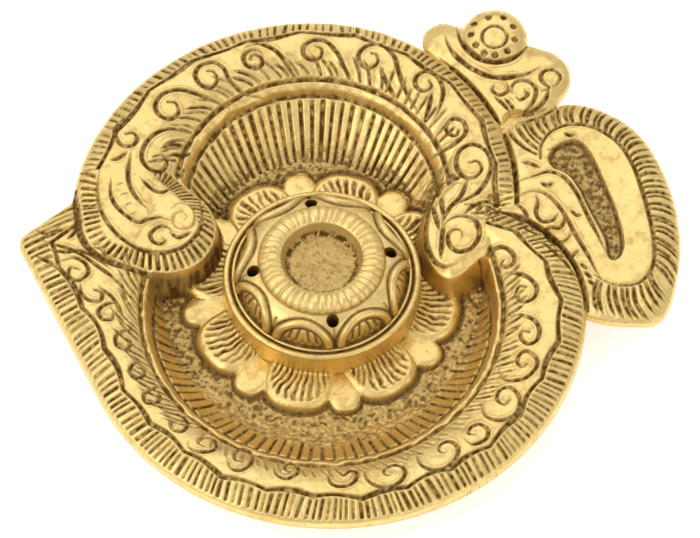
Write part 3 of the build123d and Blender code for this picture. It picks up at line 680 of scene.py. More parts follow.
# Each leaf: turn, middle, length, half width, rise, and whether it has veins
LEAVES = ((BUD_TURN, 24.6, 5.2, 3.7, 1.3, 0), (PETAL_TURN, 21.6, 7.9, 7.7, 2.2, 1))
for k in range(PETALS):
    for turn, middle, length, half_w, rise, veins in LEAVES:
        a = math.radians(turn + 360 / PETALS * k)
        out = X * math.cos(a) + Y * math.sin(a)
        across = Y * math.cos(a) - X * math.sin(a)
        m = (np.abs((out - middle) / length) ** 2.5 + np.abs(across / half_w) ** 2.5) ** 0.4
        lobe = rise * np.sqrt(np.clip(1 - m**5, 0, 1)) * (out > 0)
        mine = (lobe > petals) & floor_ring
        cut = np.where(mine, 0, cut)
        sunk = np.where(mine, 0, sunk)
        if veins:
            spread = np.degrees(np.arctan2(across, out - 11.0))
            inside = (1 - ramp(m, 0.66, 0.84)) * mine
            press(sunk, 0.4 * inside * (radius0 > 21))
            hatch = spread / 6.2 + 20 + 0.3 * np.sin(out / 1.7 + k) + 0.1 * mid_noise
            press(cut, flutes(hatch, inside, 1.6, 0.85, 0.6, 50 + k))
        press(petals, lobe)
        rim_line = hump((m - 1.05) / 0.09) * floor_ring * (out > 0)
        press(cut, 0.45 * rim_line * (petals < 0.3))
petals = np.where(floor_ring, petals, 0)
bare = ramp(-np.minimum(off_circle(FLOOR), off_circle(BACK_FLOOR)), -1.6, 0.6) * (petals < 0.25)
bare *= (form < FLOOR_Z + 1.6)
press(grit, bare)
press(grit, 0.8 * ramp(form, FLOOR_Z + 2.0, FLOOR_Z) * (petals < 0.25))
BACK_STEP = (0.0, 3.0, 27.0)
step_ring = 0.9 * ramp(-np.abs(off_circle(BACK_STEP)), -1.3, -0.7) * (Y > 15) * (petals < 0.2)
over_floor = np.maximum(FLOOR_Z + np.maximum(petals, step_ring) - form, 0)
press(raised, over_floor * (petals + step_ring > 0))
print("carved; deepest cut", round(float(cut.max()), 2), "mm")

# %% Heights, stain and grit together
leaf_slope = ramp(off_leaf, 0.4, 1.2) * (off_leaf < 5) * (X < 25.5) * (form > FLOOR_Z + 0.5)
press(grit, 0.7 * leaf_slope * (off_circle((0, 0, SEAT_R)) > 0) * (form < LEAF_Z))
specks = np.random.default_rng(15).normal(size=X.shape)
gritty = 0.13 * fine_noise + 0.05 * mid_noise + 0.05 * specks
worn_down = 0.07 * slow_noise + 0.05 * broad_noise + 0.04 * mid_noise + 0.012 * fine_noise
relief = form + raised - cut - sunk + grit * gritty + worn_down
EDGE_ROUND_W, EDGE_ROUND_DROP = 0.9, 0.7
round_over = np.clip(1 + off_all / EDGE_ROUND_W, 0, 1)
relief -= EDGE_ROUND_DROP * (1 - np.sqrt(hump(round_over)))
relief = np.where(off_all > -0.3, np.minimum(relief, EDGE_Z + 0.6), relief)
relief = np.clip(relief, FLOOR_Z - 0.5, cad_high[2] / MM)
stain = np.clip(cut / 0.5, 0, 1) * np.clip(0.82 + 0.22 * fine_noise, 0.35, 1)
press(stain, 0.7 * ramp(off_slot, 0, -0.6) * ramp(fine_noise + 0.6 * specks, 0.8, -1.0))
press(stain, 0.65 * leaf_slope * ramp(fine_noise + 0.6 * specks, 0.7, -1.0))
press(stain, 0.75 * grit * ramp(fine_noise + 0.3 * mid_noise + 0.5 * specks, -0.1, -1.5))

# %% [markdown]
# ## Finish
# The casting is plated or lacquered in a gold tone, rubbed bright on top, and dark wax or patina stays in the
# cuts. One shared node group turns two masks, stain and grit, into colour, roughness, metal and fine bumps.
# The masks come from the carving itself, stored on the vertices, so the dark sits in the cuts; on the dome the
# stain mask also holds painted shade on the cup's inner wall and inside the stick holes.

# %% Node helpers
def feed(node, inputs):
    """Gives a node's inputs their values, or links them."""
    for key, value in inputs.items():
        if isinstance(value, bpy.types.NodeSocket):
            node.id_data.links.new(value, node.inputs[key])
        else:
            node.inputs[key].default_value = value
    return node


def add(tree, kind, inputs=None, **settings):
    new = tree.nodes.new("ShaderNode" + kind)
    for key, value in settings.items():
        setattr(new, key, value)
    return feed(new, inputs or {})


def math_node(tree, operation, *values, clamp=False):
    return add(tree, "Math", dict(enumerate(values)), operation=operation, use_clamp=clamp).outputs[0]


def blend(tree, share, a, b):
    return add(tree, "Mix", {0: share, 6: a, 7: b}, data_type="RGBA").outputs[2]


def new_material(name):
    material = bpy.data.materials.new(name)
    material.use_nodes = True
    return material, material.node_tree, material.node_tree.nodes["Principled BSDF"]


# %% Aged gold
GOLD_PALE, GOLD_WARM = (0.89, 0.68, 0.29, 1), (0.79, 0.54, 0.175, 1)
# PATINA_AND_SHADE is the brown-black left in the cuts; through the dome's stain mask it is also painted shade
# on the cup wall and in the stick holes.
PATINA_AND_SHADE, GRIT_BROWN = (0.14, 0.068, 0.008, 1), (0.58, 0.40, 0.15, 1)

aged = bpy.data.node_groups.new("aged_gold", "ShaderNodeTree")
for name in ("Stain", "Grit"):
    aged.interface.new_socket(name, in_out="INPUT", socket_type="NodeSocketFloat")
for name, kind in (("Color", "Color"), ("Roughness", "Float"), ("Metal", "Float"), ("Height", "Float")):
    aged.interface.new_socket(name, in_out="OUTPUT", socket_type="NodeSocket" + kind)
masks, result = aged.nodes.new("NodeGroupInput"), aged.nodes.new("NodeGroupOutput")
place = add(aged, "TexCoord").outputs["Object"]


def noise(tree, where, scale, detail=3.0, rough=0.6):
    inputs = {"Vector": where, "Scale": scale, "Detail": detail, "Roughness": rough}
    return add(tree, "TexNoise", inputs).outputs[0]


def peaks_of(field, low, high, most):
    """The peaks of a noise, from low to high, as a mask up to most."""
    inputs = {"Value": field, "From Min": low, "From Max": high, "To Max": most}
    return add(aged, "MapRange", inputs).outputs[0]


patchy = noise(aged, place, 70.0)
flecks = noise(aged, place, 900.0, 5.0, 0.7)
grain = noise(aged, place, 2600.0)
broken = math_node(aged, "MULTIPLY_ADD", flecks, 1.3, 0.38)
stain_and_shade_share = math_node(aged, "MULTIPLY", masks.outputs["Stain"], broken, clamp=True)
stain_and_shade_share = math_node(aged, "MAXIMUM", stain_and_shade_share, peaks_of(flecks, 0.62, 0.72, 0.5))
film = noise(aged, place, 420.0, 4.0, 0.65)
stain_and_shade_share = math_node(aged, "MAXIMUM", stain_and_shade_share, peaks_of(film, 0.5, 0.72, 0.3))
gold = blend(aged, patchy, GOLD_PALE, GOLD_WARM)
gritty_share = math_node(aged, "MULTIPLY", masks.outputs["Grit"], 0.75, clamp=True)
body_color = blend(aged, gritty_share, gold, GRIT_BROWN)
rough = math_node(aged, "MULTIPLY_ADD", stain_and_shade_share, 0.40, 0.33)
rough = math_node(aged, "ADD", rough, math_node(aged, "MULTIPLY", masks.outputs["Grit"], 0.2))
rough = math_node(aged, "ADD", rough, math_node(aged, "MULTIPLY", grain, 0.08))
metal = math_node(aged, "ADD", math_node(aged, "MULTIPLY", stain_and_shade_share, -0.5), 1.0)
height = math_node(aged, "ADD", math_node(aged, "MULTIPLY", flecks, 0.7), grain)
# Blending to PATINA_AND_SHADE gives patina in the cuts, and painted shade where the dome's mask holds it.
color = blend(aged, stain_and_shade_share, body_color, PATINA_AND_SHADE)
feed(result, {"Color": color, "Roughness": rough, "Metal": metal, "Height": height})

# %% Gold material
gold_material, tree, shader = new_material("antique_gold")
worn = tree.nodes.new("ShaderNodeGroup")
worn.node_tree = aged
for name in ("Stain", "Grit"):
    feed(worn, {name: add(tree, "Attribute", attribute_name=name.lower()).outputs["Fac"]})
bump = add(tree, "Bump", {"Strength": 0.18, "Distance": 0.0003, "Height": worn.outputs["Height"]})
feed(shader, {"Base Color": worn.outputs["Color"], "Roughness": worn.outputs["Roughness"],
              "Metallic": worn.outputs["Metal"], "Specular IOR Level": 0.1, "Normal": bump.outputs[0]})

# %% Plated steel for screw and washer
STEEL_LIGHT, STEEL_DULL = (0.62, 0.60, 0.56, 1), (0.42, 0.41, 0.39, 1)
steel_material, tree, shader = new_material("screw_steel")
streaks = noise(tree, add(tree, "TexCoord").outputs["Object"], 1400.0)
rough = math_node(tree, "ADD", math_node(tree, "MULTIPLY", streaks, 0.25), 0.22)
color = blend(tree, streaks, STEEL_LIGHT, STEEL_DULL)
feed(shader, {"Base Color": color, "Roughness": rough, "Metallic": 1.0})

# %% [markdown]
# ## The dish as sheets of metal
# The carved face is cut into sheets along its natural grooves: floor, walls, two arms, hook and crescent.
# Each starts as a plain grid that is laid over the height grid, trimmed to its region and drawn to the
# outline, and its outer edge is turned down into the thickness of the casting.

# %% Which sheet each point belongs to
floor_part = ((off_circle(FLOOR) < 0) | (off_circle(BACK_FLOOR) < 0)) & (form < FLOOR_Z + 0.8)
wall_part = ((in_lower < 0) | (in_upper < 0)) & ~floor_part & ~on_paisley
region = np.full(X.shape, "lower_arm", dtype="<U16")
region[on_hook] = "hook"
region[on_crescent | (off_bindu < 0)] = "crescent"
region[upper_side | on_paisley] = "upper_arm"
region[wall_part] = "bowl_wall"
region[floor_part] = "lotus_floor"
region[(X > 30) & (off_lower > 0) & ~upper_side & (Y < 36)] = "hook"


# %% Mesh helpers
def sample(field, x, y):
    """Field between grid points."""
    u = np.clip((x - columns[0]) / STEP, 0, len(columns) - 1.001)
    v = np.clip((y - rows[0]) / STEP, 0, len(rows) - 1.001)
    i, j = u.astype(int), v.astype(int)
    u, v = u - i, v - j
    low = field[j, i] * (1 - u) + field[j, i + 1] * u
    return low * (1 - v) + (field[j + 1, i] * (1 - u) + field[j + 1, i + 1] * u) * v


off_slope_y, off_slope_x = np.gradient(off_all, STEP)
slope_y, slope_x = np.gradient(relief, STEP)
HAIR, FOOT_INSET, TURN_DOWN = 0.02, 0.4, 0.5


def to_outline(x, y, inset):
    for _ in range(3):
        gx, gy = sample(off_slope_x, x, y), sample(off_slope_y, x, y)
        away = (sample(off_all, x, y) + inset) / np.maximum(gx * gx + gy * gy, 0.25)
        x, y = x - away * gx, y - away * gy
    return x, y


def vertex_array(bm):
    return np.array([v.co for v in bm.verts])


def laid_grid(x_places, y_places, heights):
    """bmesh's own grid, laid over a field of heights."""
    bm = bmesh.new()
    x_parts, y_parts = len(x_places) - 1, len(y_places) - 1
    bmesh.ops.create_grid(bm, x_segments=x_parts, y_segments=y_parts, size=1.0)
    flat = vertex_array(bm)
    i = np.round((flat[:, 0] + 1) / 2 * x_parts).astype(int)
    j = np.round((flat[:, 1] + 1) / 2 * y_parts).astype(int)
    for vert, place in zip(bm.verts, zip(x_places[i], y_places[j], heights[j, i])):
        vert.co = place
    return bm


def put_in_scene(name, data):
    thing = bpy.data.objects.new(name, data)
    bpy.context.scene.collection.objects.link(thing)
    return thing


def finish_piece(name, bm, material, body, node_name, masks=None):
    """Mesh to object: material, masks, and what it stands for."""
    mesh = bpy.data.meshes.new(name)
    bm.to_mesh(mesh)
    bm.free()
    piece = put_in_scene(name, mesh)
    mesh.materials.append(material)
    mesh.polygons.foreach_set("use_smooth", np.ones(len(mesh.polygons), bool))
    for mask, values in (masks or {}).items():
        layer = mesh.attributes.new(mask, "FLOAT", "POINT")
        layer.data.foreach_set("value", np.asarray(values, dtype=np.float32))
    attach(piece, body)
    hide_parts(node_name)
    print(name, len(mesh.vertices), "vertices")
    return piece


# %% Cutting the sheets
def sheet(name):
    mine = region == name
    keep_face = (off_all[:-1, :-1] + off_all[1:, 1:] < 0) & mine[:-1, :-1]
    keep_face &= np.hypot(X[:-1, :-1], Y[:-1, :-1]) > SEAT_R - 0.6
    j_all, i_all = np.nonzero(keep_face)
    i0, i1, j0, j1 = i_all.min(), i_all.max() + 2, j_all.min(), j_all.max() + 2
    bm = laid_grid(columns[i0:i1], rows[j0:j1], relief[j0:j1, i0:i1])
    spare = []
    for face in bm.faces:
        x = min(vert.co.x for vert in face.verts)
        y = min(vert.co.y for vert in face.verts)
        if not keep_face[int(round((y - rows[0]) / STEP)), int(round((x - columns[0]) / STEP))]:
            spare.append(face)
    bmesh.ops.delete(bm, geom=spare, context="FACES")
    border = [edge for edge in bm.edges if len(edge.link_faces) == 1]
    at_rim = [edge for edge in border
              if max(height_at(off_all, *zip(*((v.co.x, v.co.y) for v in edge.verts)))) > -1.6 * STEP]
    rim_verts = list({vert for edge in at_rim for vert in edge.verts})
    if rim_verts:
        places = np.array([vert.co for vert in rim_verts])
        x, y = to_outline(places[:, 0], places[:, 1], HAIR)
        z = sample(relief, x, y)
        for vert, place in zip(rim_verts, zip(x, y, z)):
            vert.co = place
        edges = at_rim
        for inset, height in ((HAIR, FOOT_Z + TURN_DOWN), (FOOT_INSET, FOOT_Z)):
            grown = bmesh.ops.extrude_edge_only(bm, edges=edges)["geom"]
            edges = [g for g in grown if isinstance(g, bmesh.types.BMEdge)]
            low = [g for g in grown if isinstance(g, bmesh.types.BMVert)]
            places = np.array([vert.co for vert in low])
            x, y = to_outline(places[:, 0], places[:, 1], inset)
            for vert, place in zip(low, zip(x, y)):
                vert.co = (*place, height)
    x, y, z = vertex_array(bm).T
    top = z > FOOT_Z + TURN_DOWN + 0.1
    if name in ("bowl_wall", "lotus_floor"):
        top[:] = True
    normals = np.column_stack([-sample(slope_x, x, y), -sample(slope_y, x, y), np.ones(len(x))])
    normals /= np.linalg.norm(normals, axis=1)[:, None]
    normals[~top | (sample(off_all, x, y) > -0.5 * STEP)] = 0
    looks = {"stain": sample(stain, x, y) * top, "grit": sample(grit, x, y) * top}
    bmesh.ops.scale(bm, vec=(MM, MM, MM), verts=bm.verts)
    layer = bm.loops.layers.uv.new("OFBake")
    span = max(i1 - i0, j1 - j0) * STEP * MM
    for face in bm.faces:
        for loop in face.loops:
            place = loop.vert.co
            loop[layer].uv = ((place.x - columns[i0] * MM) / span, (place.y - rows[j0] * MM) / span)
    piece = finish_piece(name, bm, gold_material, "plate", "om_plate", looks)
    piece.data.normals_split_custom_set_from_vertices(normals.tolist())


SHEETS = ("lotus_floor", "bowl_wall", "lower_arm", "upper_arm", "hook", "crescent")
for sheet_name in SHEETS:
    sheet(sheet_name)

# %% [markdown]
# ## Underside and dome seat
# From below the casting is open and plain: it follows the bowl at the thickness of the metal and stands on
# the flat of the bowl. A turned seat and platform carry the dome, with a recess for the screw under them.

# %% Underside
RECESS_R = 6.5
UNDER_EVERY = 4
under = np.clip(smooth_form - CAST_T, 0, None)
under += (FOOT_Z - under) * ramp(off_all, -3.0, 0.0) * (under > 2.0)


def even_looks(bm, stain_share, grit_share):
    return {"stain": np.full(len(bm.verts), stain_share), "grit": np.full(len(bm.verts), grit_share)}


def underside():
    bm = laid_grid(columns[::UNDER_EVERY], rows[::UNDER_EVERY], under[::UNDER_EVERY, ::UNDER_EVERY])
    spare = []
    for face in bm.faces:
        middle = face.calc_center_median()
        outside = height_at(off_all, middle.x, middle.y) > -FOOT_INSET
        if outside or math.hypot(middle.x, middle.y) < RECESS_R:
            spare.append(face)
    bmesh.ops.delete(bm, geom=spare, context="FACES")
    for vert in [v for v in bm.verts if v.is_boundary]:
        reach = math.hypot(vert.co.x, vert.co.y)
        if reach < 2 * RECESS_R:
            vert.co = (vert.co.x * RECESS_R / reach, vert.co.y * RECESS_R / reach, 0)
        else:
            x, y = to_outline(np.array([vert.co.x]), np.array([vert.co.y]), FOOT_INSET)
            vert.co = (x[0], y[0], FOOT_Z)
    bmesh.ops.reverse_faces(bm, faces=bm.faces)
    bmesh.ops.scale(bm, vec=(MM, MM, MM), verts=bm.verts)
    looks = even_looks(bm, 0.25, 0.35)
    finish_piece("plate_underside", bm, gold_material, "plate", "om_plate", looks)


underside()


# %% Turned pieces
def turned(profile, steps):
    """Spins a profile of (radius, height) in millimetres once round Z."""
    bm = bmesh.new()
    verts = [bm.verts.new((r * MM, 0, z * MM)) for r, z in profile]
    edges = [bm.edges.new(pair) for pair in zip(verts, verts[1:])]
    bmesh.ops.spin(bm, geom=verts + edges, cent=(0, 0, 0), axis=(0, 0, 1), angle=2 * math.pi, steps=steps,
                   use_merge=True)
    bmesh.ops.remove_doubles(bm, verts=bm.verts, dist=1e-7)
    bmesh.ops.recalc_face_normals(bm, faces=bm.faces)
    return bm


SEAT_Z, PLATFORM_R, PLATFORM_Z, HOLE_R, RECESS_Z = 3.5, 10.0, 6.5, 2.25, 3.5
BEVEL, SEAT_BEVEL, SEAT_STEPS, SCREW_STEPS = 0.3, 0.2, 160, 96
seat = turned([(RECESS_R, 0), (RECESS_R, RECESS_Z), (HOLE_R, RECESS_Z), (HOLE_R, PLATFORM_Z - BEVEL),
               (HOLE_R + BEVEL, PLATFORM_Z), (PLATFORM_R - BEVEL, PLATFORM_Z),
               (PLATFORM_R, PLATFORM_Z - BEVEL), (PLATFORM_R, SEAT_Z), (SEAT_R - SEAT_BEVEL, SEAT_Z),
               (SEAT_R, SEAT_Z - SEAT_BEVEL), (SEAT_R, FLOOR_Z - 0.5)], SEAT_STEPS)
seat_looks = even_looks(seat, 0.3, 0.3)
finish_piece("dome_seat", seat, gold_material, "plate", "om_plate", seat_looks)

# %% [markdown]
# ## Stick dome
# The dome is a hollow casting turned on its outside: a plain polished collar, two beads with a dark groove,
# a swelling shoulder with eight arches, and a fluted ring round the cone cup. The stick holes are drilled
# straight down through the shoulder, so the mesh is opened there and the two skins are bridged.

# %% Dome profile
COLLAR_FOOT_R = 20.2
COLLAR_R, SHOULDER_FOOT, RING_FOOT, SHOULDER_BULGE = 20.8, (17.9, 10.25), (13.3, 15.7), 1.45
RING_CROWN, CUP_LIP, CUP_FOOT, CUP_FLOOR_Z = (11.0, 17.72), (8.7, 17.2), (7.4, 14.6), 14.3
STEPS = 560


def straight(a, b, count):
    return [(a[0] + (b[0] - a[0]) * k / count, a[1] + (b[1] - a[1]) * k / count) for k in range(1, count + 1)]


def arc(middle, radius, first, last, count):
    turns = [math.radians(first + (last - first) * k / count) for k in range(count + 1)]
    return [(middle[0] + radius * math.cos(a), middle[1] + radius * math.sin(a)) for a in turns]


SHOULDER_PARTS = 30
run_r, run_z = RING_FOOT[0] - SHOULDER_FOOT[0], RING_FOOT[1] - SHOULDER_FOOT[1]
shoulder_length = math.hypot(run_r, run_z)
shoulder = []
for k in range(SHOULDER_PARTS + 1):
    t = k / SHOULDER_PARTS
    swell = 4 * t * (1 - t) * SHOULDER_BULGE / shoulder_length
    shoulder.append((SHOULDER_FOOT[0] + t * run_r + swell * run_z,
                     SHOULDER_FOOT[1] + t * run_z - swell * run_r))
ring = [(RING_FOOT[0] - 0.02, 16.0), (RING_FOOT[0] - 0.1, 16.35), (12.95, 16.75), (12.6, 17.1), (12.1, 17.42),
        (11.6, 17.62), RING_CROWN, (10.5, 17.72), (10.0, 17.66), (9.5, 17.55), (9.1, 17.4), CUP_LIP,
        (8.5, 16.95)]
ring = [tuple(p) for p in smooth_line([shoulder[-1]] + ring, parts=3)[1:]]
collar = [(COLLAR_FOOT_R, SEAT_Z), (20.6, 3.65), (COLLAR_R, 4.0)]
collar += straight((COLLAR_R, 4.0), (COLLAR_R, 9.3), 8)
bead = arc((20.05, 9.6), 0.75, 0, 165, 9)
SMALL_BEAD_R, CUP_WALL_PARTS, CUP_FLOOR_PARTS = 18.6, 9, 22
small_bead = [(19.1, 9.62), (18.95, 9.7)] + arc((SMALL_BEAD_R, 9.95), 0.36, 10, 170, 6)
small_bead += [(18.15, 9.85), (18.02, 9.95)]
cup = straight(ring[-1], CUP_FOOT, CUP_WALL_PARTS) + [(7.2, 14.42), (6.9, CUP_FLOOR_Z)]
cup += straight((6.9, CUP_FLOOR_Z), (0, CUP_FLOOR_Z), CUP_FLOOR_PARTS)
outside = collar + bead + small_bead + shoulder + ring + cup
INNER_R, ROOF_Z, BOSS_R, BOSS_Z, TAP_R, TAP_Z = 18.0, 11.5, 5.5, 6.8, 2.1, 11.3
ROOF_LINE = ((8.7, ROOF_Z), (12.9, 10.19), (16.3, 9.13), (INNER_R, 8.6))
inside = [(0, TAP_Z), (TAP_R, TAP_Z), (TAP_R, BOSS_Z + 0.2), (TAP_R + 0.2, BOSS_Z), (BOSS_R, BOSS_Z),
          (BOSS_R, ROOF_Z), ROOF_LINE[0]]
for start, end, parts in zip(ROOF_LINE, ROOF_LINE[1:], (3, 14, 2)):
    inside += straight(start, end, parts)
inside += [(INNER_R, SEAT_Z), (COLLAR_FOOT_R, SEAT_Z)]

# %% Dome carving
dome = turned(outside, STEPS)
places = vertex_array(dome) / MM
profile = np.array(outside)
radius, turn = np.hypot(places[:, 0], places[:, 1]), np.degrees(np.arctan2(places[:, 1], places[:, 0]))
number = np.hypot(radius[:, None] - profile[:, 0], places[:, 2][:, None] - profile[:, 1]).argmin(1)
tangents = np.gradient(profile, axis=0)
tangents /= np.linalg.norm(tangents, axis=1)[:, None]
out_r, out_z = tangents[number, 1], -tangents[number, 0]
first = len(collar) + len(bead) + len(small_bead)
on_shoulder = (number >= first) & (number < first + len(shoulder))
on_ring = (number >= first + len(shoulder)) & (number < first + len(shoulder) + len(ring))
climb = np.where(on_shoulder, (number - first) / SHOULDER_PARTS * (shoulder_length + 0.3), 0)
ARCHES, ARCH_TURN, ARCH_R, ARCH_BAND, SHOULDER_R = 8, 31.5, 6.15, 1.8, 16.3
half_arch = 180 / ARCHES
off_arch = (turn - ARCH_TURN + half_arch) % (2 * half_arch) - half_arch
along = np.radians(off_arch) * SHOULDER_R
arch = np.hypot(along, climb - 0.1)
rise, patina_and_shade = np.zeros(len(places)), np.zeros(len(places))


def scribe(mark, depth, shade):
    """Sinks a mark into the dome and darkens it."""
    np.subtract(rise, depth * mark, out=rise)
    press(patina_and_shade, shade * mark)


band = np.sqrt(hump((arch - ARCH_R + ARCH_BAND / 2) / (ARCH_BAND / 2)))
hollow = on_shoulder * (1 - ramp(arch, ARCH_R - ARCH_BAND - 0.5, ARCH_R - ARCH_BAND - 0.1))
rise += on_shoulder * 0.8 * band - 0.35 * hollow
for line_at, line_w, line_d in ((ARCH_R + 0.15, 0.35, 0.35), (ARCH_R - ARCH_BAND - 0.2, 0.4, 0.2)):
    scribe(hump((arch - line_at) / line_w) * on_shoulder, line_d, 0.9)
STROKE_PITCH = 1.5
strokes = np.abs((along / STROKE_PITCH + 0.12 * climb * np.sign(along) + 0.5) % 1 - 0.5) * STROKE_PITCH
scribe(hump(strokes / 0.42) * hollow * (climb > 0.4), 0.25, 0.85)
dart = np.abs(np.abs(off_arch) - half_arch) * np.radians(1) * SHOULDER_R
scribe(hump(dart / 0.3) * on_shoulder * (arch > ARCH_R) * (climb < 4.5), 0.25, 0.6)

# %% Ring flutes, grooves and cup
RING_FLUTES = 44
wobble = 0.16 * np.sin(np.radians(turn) * 9) + 0.1 * np.sin(np.radians(turn) * 23)
flute = np.abs((turn / 360 * RING_FLUTES + wobble) % 1 - 0.5) * 2
ring_cut = np.clip(1 - flute / 0.55, 0, 1) ** 1.5 * on_ring * ramp(radius, 8.6, 9.2)
scribe(ring_cut, 0.3, 0.16)
foot_line = np.clip(1 - np.abs(number - first - len(shoulder) + 0.5) / 1.8, 0, 1)
press(patina_and_shade, 0.8 * foot_line)
grooves = (number >= len(collar) + len(bead) - 2) & (number < first + 1)
press(patina_and_shade, 0.9 * grooves * (np.abs(profile[number, 0] - SMALL_BEAD_R) > 0.3))
dome_noise = np.clip(0.5 + 0.3 * sample(0.6 * fine_noise + 0.8 * specks, places[:, 0], places[:, 1]), 0, 1)
on_floor = number >= len(outside) - CUP_FLOOR_PARTS - 2
cup_grit = on_floor * 1.0
corner = np.clip(1 - np.abs(radius - 7.3) / 0.7, 0, 1) * (places[:, 2] < 15.6) * (radius < 9)
painted_shade_cup_wall = (number >= len(outside) - CUP_FLOOR_PARTS - CUP_WALL_PARTS - 3) & ~on_floor
press(patina_and_shade, np.clip(1.6 * corner, 0, 1) * ramp(dome_noise, 0.3, 0.6))
# Painted shade: the whole inner wall of the cup is darkened by 0.3; the speckles on the cup floor are its
# grit.
press(patina_and_shade, on_floor * 0.4 * ramp(dome_noise, 0.6, 0.9) + 0.3 * painted_shade_cup_wall)
rise += on_floor * 0.3 * (dome_noise - 0.5) * (radius > 0.3)
rise += 0.03 * np.sin(np.radians(turn) * 5) * on_shoulder
places[:, 0] += rise * out_r * np.cos(np.radians(turn))
places[:, 1] += rise * out_r * np.sin(np.radians(turn))
places[:, 2] += rise * out_z
stain_and_shade_layer = dome.verts.layers.float.new("stain")
grit_layer = dome.verts.layers.float.new("grit")
for vert, place, d, g in zip(dome.verts, places, patina_and_shade, cup_grit):
    vert.co = Vector(place) * MM
    vert[stain_and_shade_layer], vert[grit_layer] = d, g

# %% Stick holes through both skins
STICK_HOLES, STICK_R, STICK_PITCH, STICK_TURN = 4, 1.25, 14.6, 9.0
skin = turned(inside, STEPS)
spare_mesh = bpy.data.meshes.new("inner_skin")
skin.to_mesh(spare_mesh)
skin.free()
dome.from_mesh(spare_mesh)
bpy.data.meshes.remove(spare_mesh)
bmesh.ops.remove_doubles(dome, verts=dome.verts, dist=2e-6)
bmesh.ops.recalc_face_normals(dome, faces=dome.faces)
for k in range(STICK_HOLES):
    a = math.radians(STICK_TURN + 360 / STICK_HOLES * k)
    hx, hy = STICK_PITCH * math.cos(a) * MM, STICK_PITCH * math.sin(a) * MM
    near = [f for f in dome.faces
            if math.hypot(f.calc_center_median().x - hx, f.calc_center_median().y - hy) < STICK_R * MM]
    bmesh.ops.delete(dome, geom=near, context="FACES")
    ends = [e for e in dome.edges if e.is_boundary]
    for vert in {v for e in ends for v in e.verts}:
        dx, dy = vert.co.x - hx, vert.co.y - hy
        reach = math.hypot(dx, dy)
        vert.co.x, vert.co.y = hx + dx / reach * STICK_R * MM, hy + dy / reach * STICK_R * MM
        # Painted shade: the rim of each stick hole is set almost fully dark.
        vert[stain_and_shade_layer] = 0.9
    sides = bmesh.ops.bridge_loops(dome, edges=ends)["faces"]
    bmesh.ops.subdivide_edges(dome, edges=list({e for f in sides for e in f.edges if not e.is_boundary
                                                and abs(e.verts[0].co.z - e.verts[1].co.z) > 2 * MM}), cuts=3)
    # Painted shade: every vertex on the hole walls is set fully dark.
    for vert in dome.verts:
        if math.hypot(vert.co.x - hx, vert.co.y - hy) < 1.02 * STICK_R * MM:
            vert[stain_and_shade_layer] = 1.0
bmesh.ops.recalc_face_normals(dome, faces=dome.faces)
finish_piece("stick_dome", dome, gold_material, "dome", "stick_holder")

# %% [markdown]
# ## Screw and washer
# A plain slotted machine screw with a flat washer holds the dome from below. The thread is a triangle swept
# up a helix, as a lathe tool cuts it.

# %% Screw
HEAD_R, HEAD_LOW, HEAD_TOP, SLOT_W, SLOT_D = 4.0, 0.4, 2.7, 1.1, 1.1
SHANK_R, CORE_R, SCREW_TOP, PITCH = 2.0, 1.72, 10.7, 0.7
screw = turned([(0, HEAD_LOW), (2.2, 0.48), (3.2, 0.75), (3.8, 1.2), (HEAD_R, 1.7), (HEAD_R, HEAD_TOP - 0.15),
                (HEAD_R - 0.15, HEAD_TOP), (CORE_R, HEAD_TOP), (CORE_R, SCREW_TOP - BEVEL),
                (CORE_R - BEVEL, SCREW_TOP), (0, SCREW_TOP)], SCREW_STEPS)
for side in (-1, 1):
    bmesh.ops.bisect_plane(screw, geom=screw.verts[:] + screw.edges[:] + screw.faces[:],
                           plane_co=(side * SLOT_W / 2 * MM, 0, 0), plane_no=(1, 0, 0))
floor_faces = [f for f in screw.faces if abs(f.calc_center_median().x) < SLOT_W / 2 * MM
               and f.calc_center_median().z < 1.7 * MM and f.normal.z < -0.2]
lifted = bmesh.ops.extrude_face_region(screw, geom=floor_faces)["geom"]
for vert in (g for g in lifted if isinstance(g, bmesh.types.BMVert)):
    vert.co.z = (HEAD_LOW + SLOT_D) * MM
bmesh.ops.delete(screw, geom=floor_faces, context="FACES")
bmesh.ops.recalc_face_normals(screw, faces=screw.faces)
TURN_STEPS, THREAD_TURNS = 36, 10
thread_z = HEAD_TOP + 0.45
tooth = [screw.verts.new((r * MM, 0, z * MM)) for r, z in
         ((CORE_R - 0.02, thread_z), (SHANK_R, thread_z + PITCH / 2), (CORE_R - 0.02, thread_z + PITCH))]
ridge = [screw.edges.new(pair) for pair in zip(tooth, tooth[1:])]
bmesh.ops.spin(screw, geom=tooth + ridge, cent=(0, 0, 0), axis=(0, 0, 1), angle=2 * math.pi * THREAD_TURNS,
               steps=TURN_STEPS * THREAD_TURNS, dvec=(0, 0, PITCH / TURN_STEPS * MM))
print("screw top in mm", round(max(v.co.z for v in screw.verts) / MM, 2))
finish_piece("slotted_screw", screw, steel_material, "screw", "fixing_screw")

# %% Washer
WASHER_R, WASHER_LOW, WASHER_HIGH, BURR = 4.6, 2.7, 3.5, 0.1
washer_bm = turned([(HOLE_R, WASHER_LOW), (WASHER_R - BURR, WASHER_LOW), (WASHER_R, WASHER_LOW + BURR),
                    (WASHER_R, WASHER_HIGH - BURR), (WASHER_R - BURR, WASHER_HIGH), (HOLE_R, WASHER_HIGH),
                    (HOLE_R, WASHER_LOW)], SCREW_STEPS)
finish_piece("flat_washer", washer_bm, steel_material, "washer", "washer")

# %% [markdown]
# ## Stage, light and camera
# The photo is a product shot on white: broad soft light from above and the front, almost no shadow, and a
# long lens looking down at about 58 degrees.

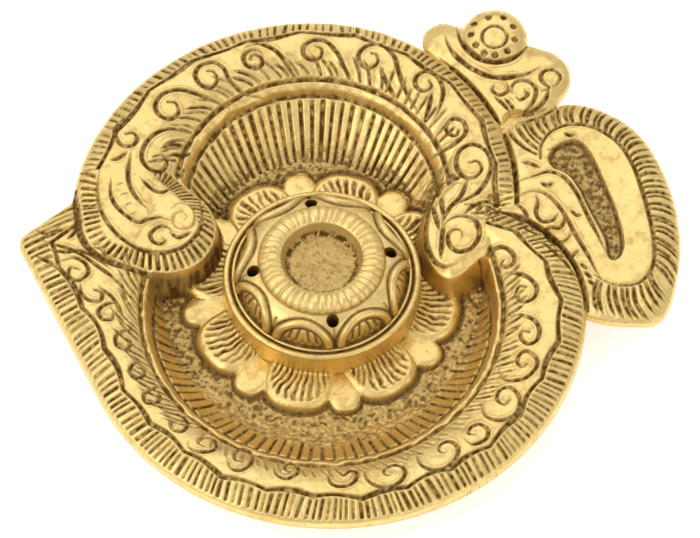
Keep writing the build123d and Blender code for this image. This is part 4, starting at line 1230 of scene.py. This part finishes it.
# %% Stage
FLOOR_HALF, STAGE_GAP = 3.0, 0.2
PAPER_LIGHT, PAPER_DULL, WHITE = (0.95, 0.95, 0.95, 1), (0.92, 0.92, 0.92, 1), (1, 1, 1, 1)
bm = bmesh.new()
bmesh.ops.create_grid(bm, x_segments=2, y_segments=2, size=FLOOR_HALF)
bmesh.ops.translate(bm, vec=(0, 0, -STAGE_GAP * MM), verts=bm.verts)
stage_mesh = bpy.data.meshes.new("white_floor")
bm.to_mesh(stage_mesh)
bm.free()
stage_floor = put_in_scene("white_floor", stage_mesh)
stage_floor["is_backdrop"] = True
paper, tree, shader = new_material("white_paper")
tint = noise(tree, add(tree, "TexCoord").outputs["Object"], 3.0)
feed(shader, {"Base Color": blend(tree, tint, PAPER_LIGHT, PAPER_DULL), "Roughness": 0.9,
              "Emission Color": WHITE, "Emission Strength": 0.5})
stage_mesh.materials.append(paper)

# %% Light
world = bpy.data.worlds.new("studio")
bpy.context.scene.world = world
world.use_nodes = True
feed(world.node_tree.nodes["Background"], {"Color": WHITE, "Strength": 0.68})


def softbox(name, place, size, power):
    """An area light that looks at the origin."""
    lamp = bpy.data.lights.new(name, "AREA")
    lamp.shape, lamp.size, lamp.size_y, lamp.energy = "RECTANGLE", size[0], size[1], power
    box = put_in_scene(name, lamp)
    box.location = place
    box.rotation_euler = (-Vector(place)).to_track_quat("-Z", "Y").to_euler()


softbox("key", (-0.7, -0.3, 0.8), (0.8, 0.8), 3.4)
softbox("fill", (0.65, -0.5, 0.6), (0.7, 0.7), 1.4)
softbox("back", (-0.1, 0.6, 1.0), (1.4, 0.9), 3.4)

# %% Camera
ELEVATION, DISTANCE, AIM = 58.5, 3.0, (0.0059, 0.0032, 0.0072)
PHOTO_WIDTH, SENSOR = 0.147, 36.0
back_x, back_z = math.cos(math.radians(ELEVATION)), math.sin(math.radians(ELEVATION))
lens = bpy.data.cameras.new("camera")
lens.lens, lens.sensor_width, lens.clip_start = SENSOR * DISTANCE / PHOTO_WIDTH, SENSOR, 0.1
camera = put_in_scene("camera", lens)
camera.location = Vector(AIM) + DISTANCE * Vector((0, -back_x, back_z))
camera.rotation_euler = (math.radians(90 - ELEVATION), 0, 0)
bpy.context.scene.camera = camera
bpy.context.scene.view_settings.view_transform = "Standard"
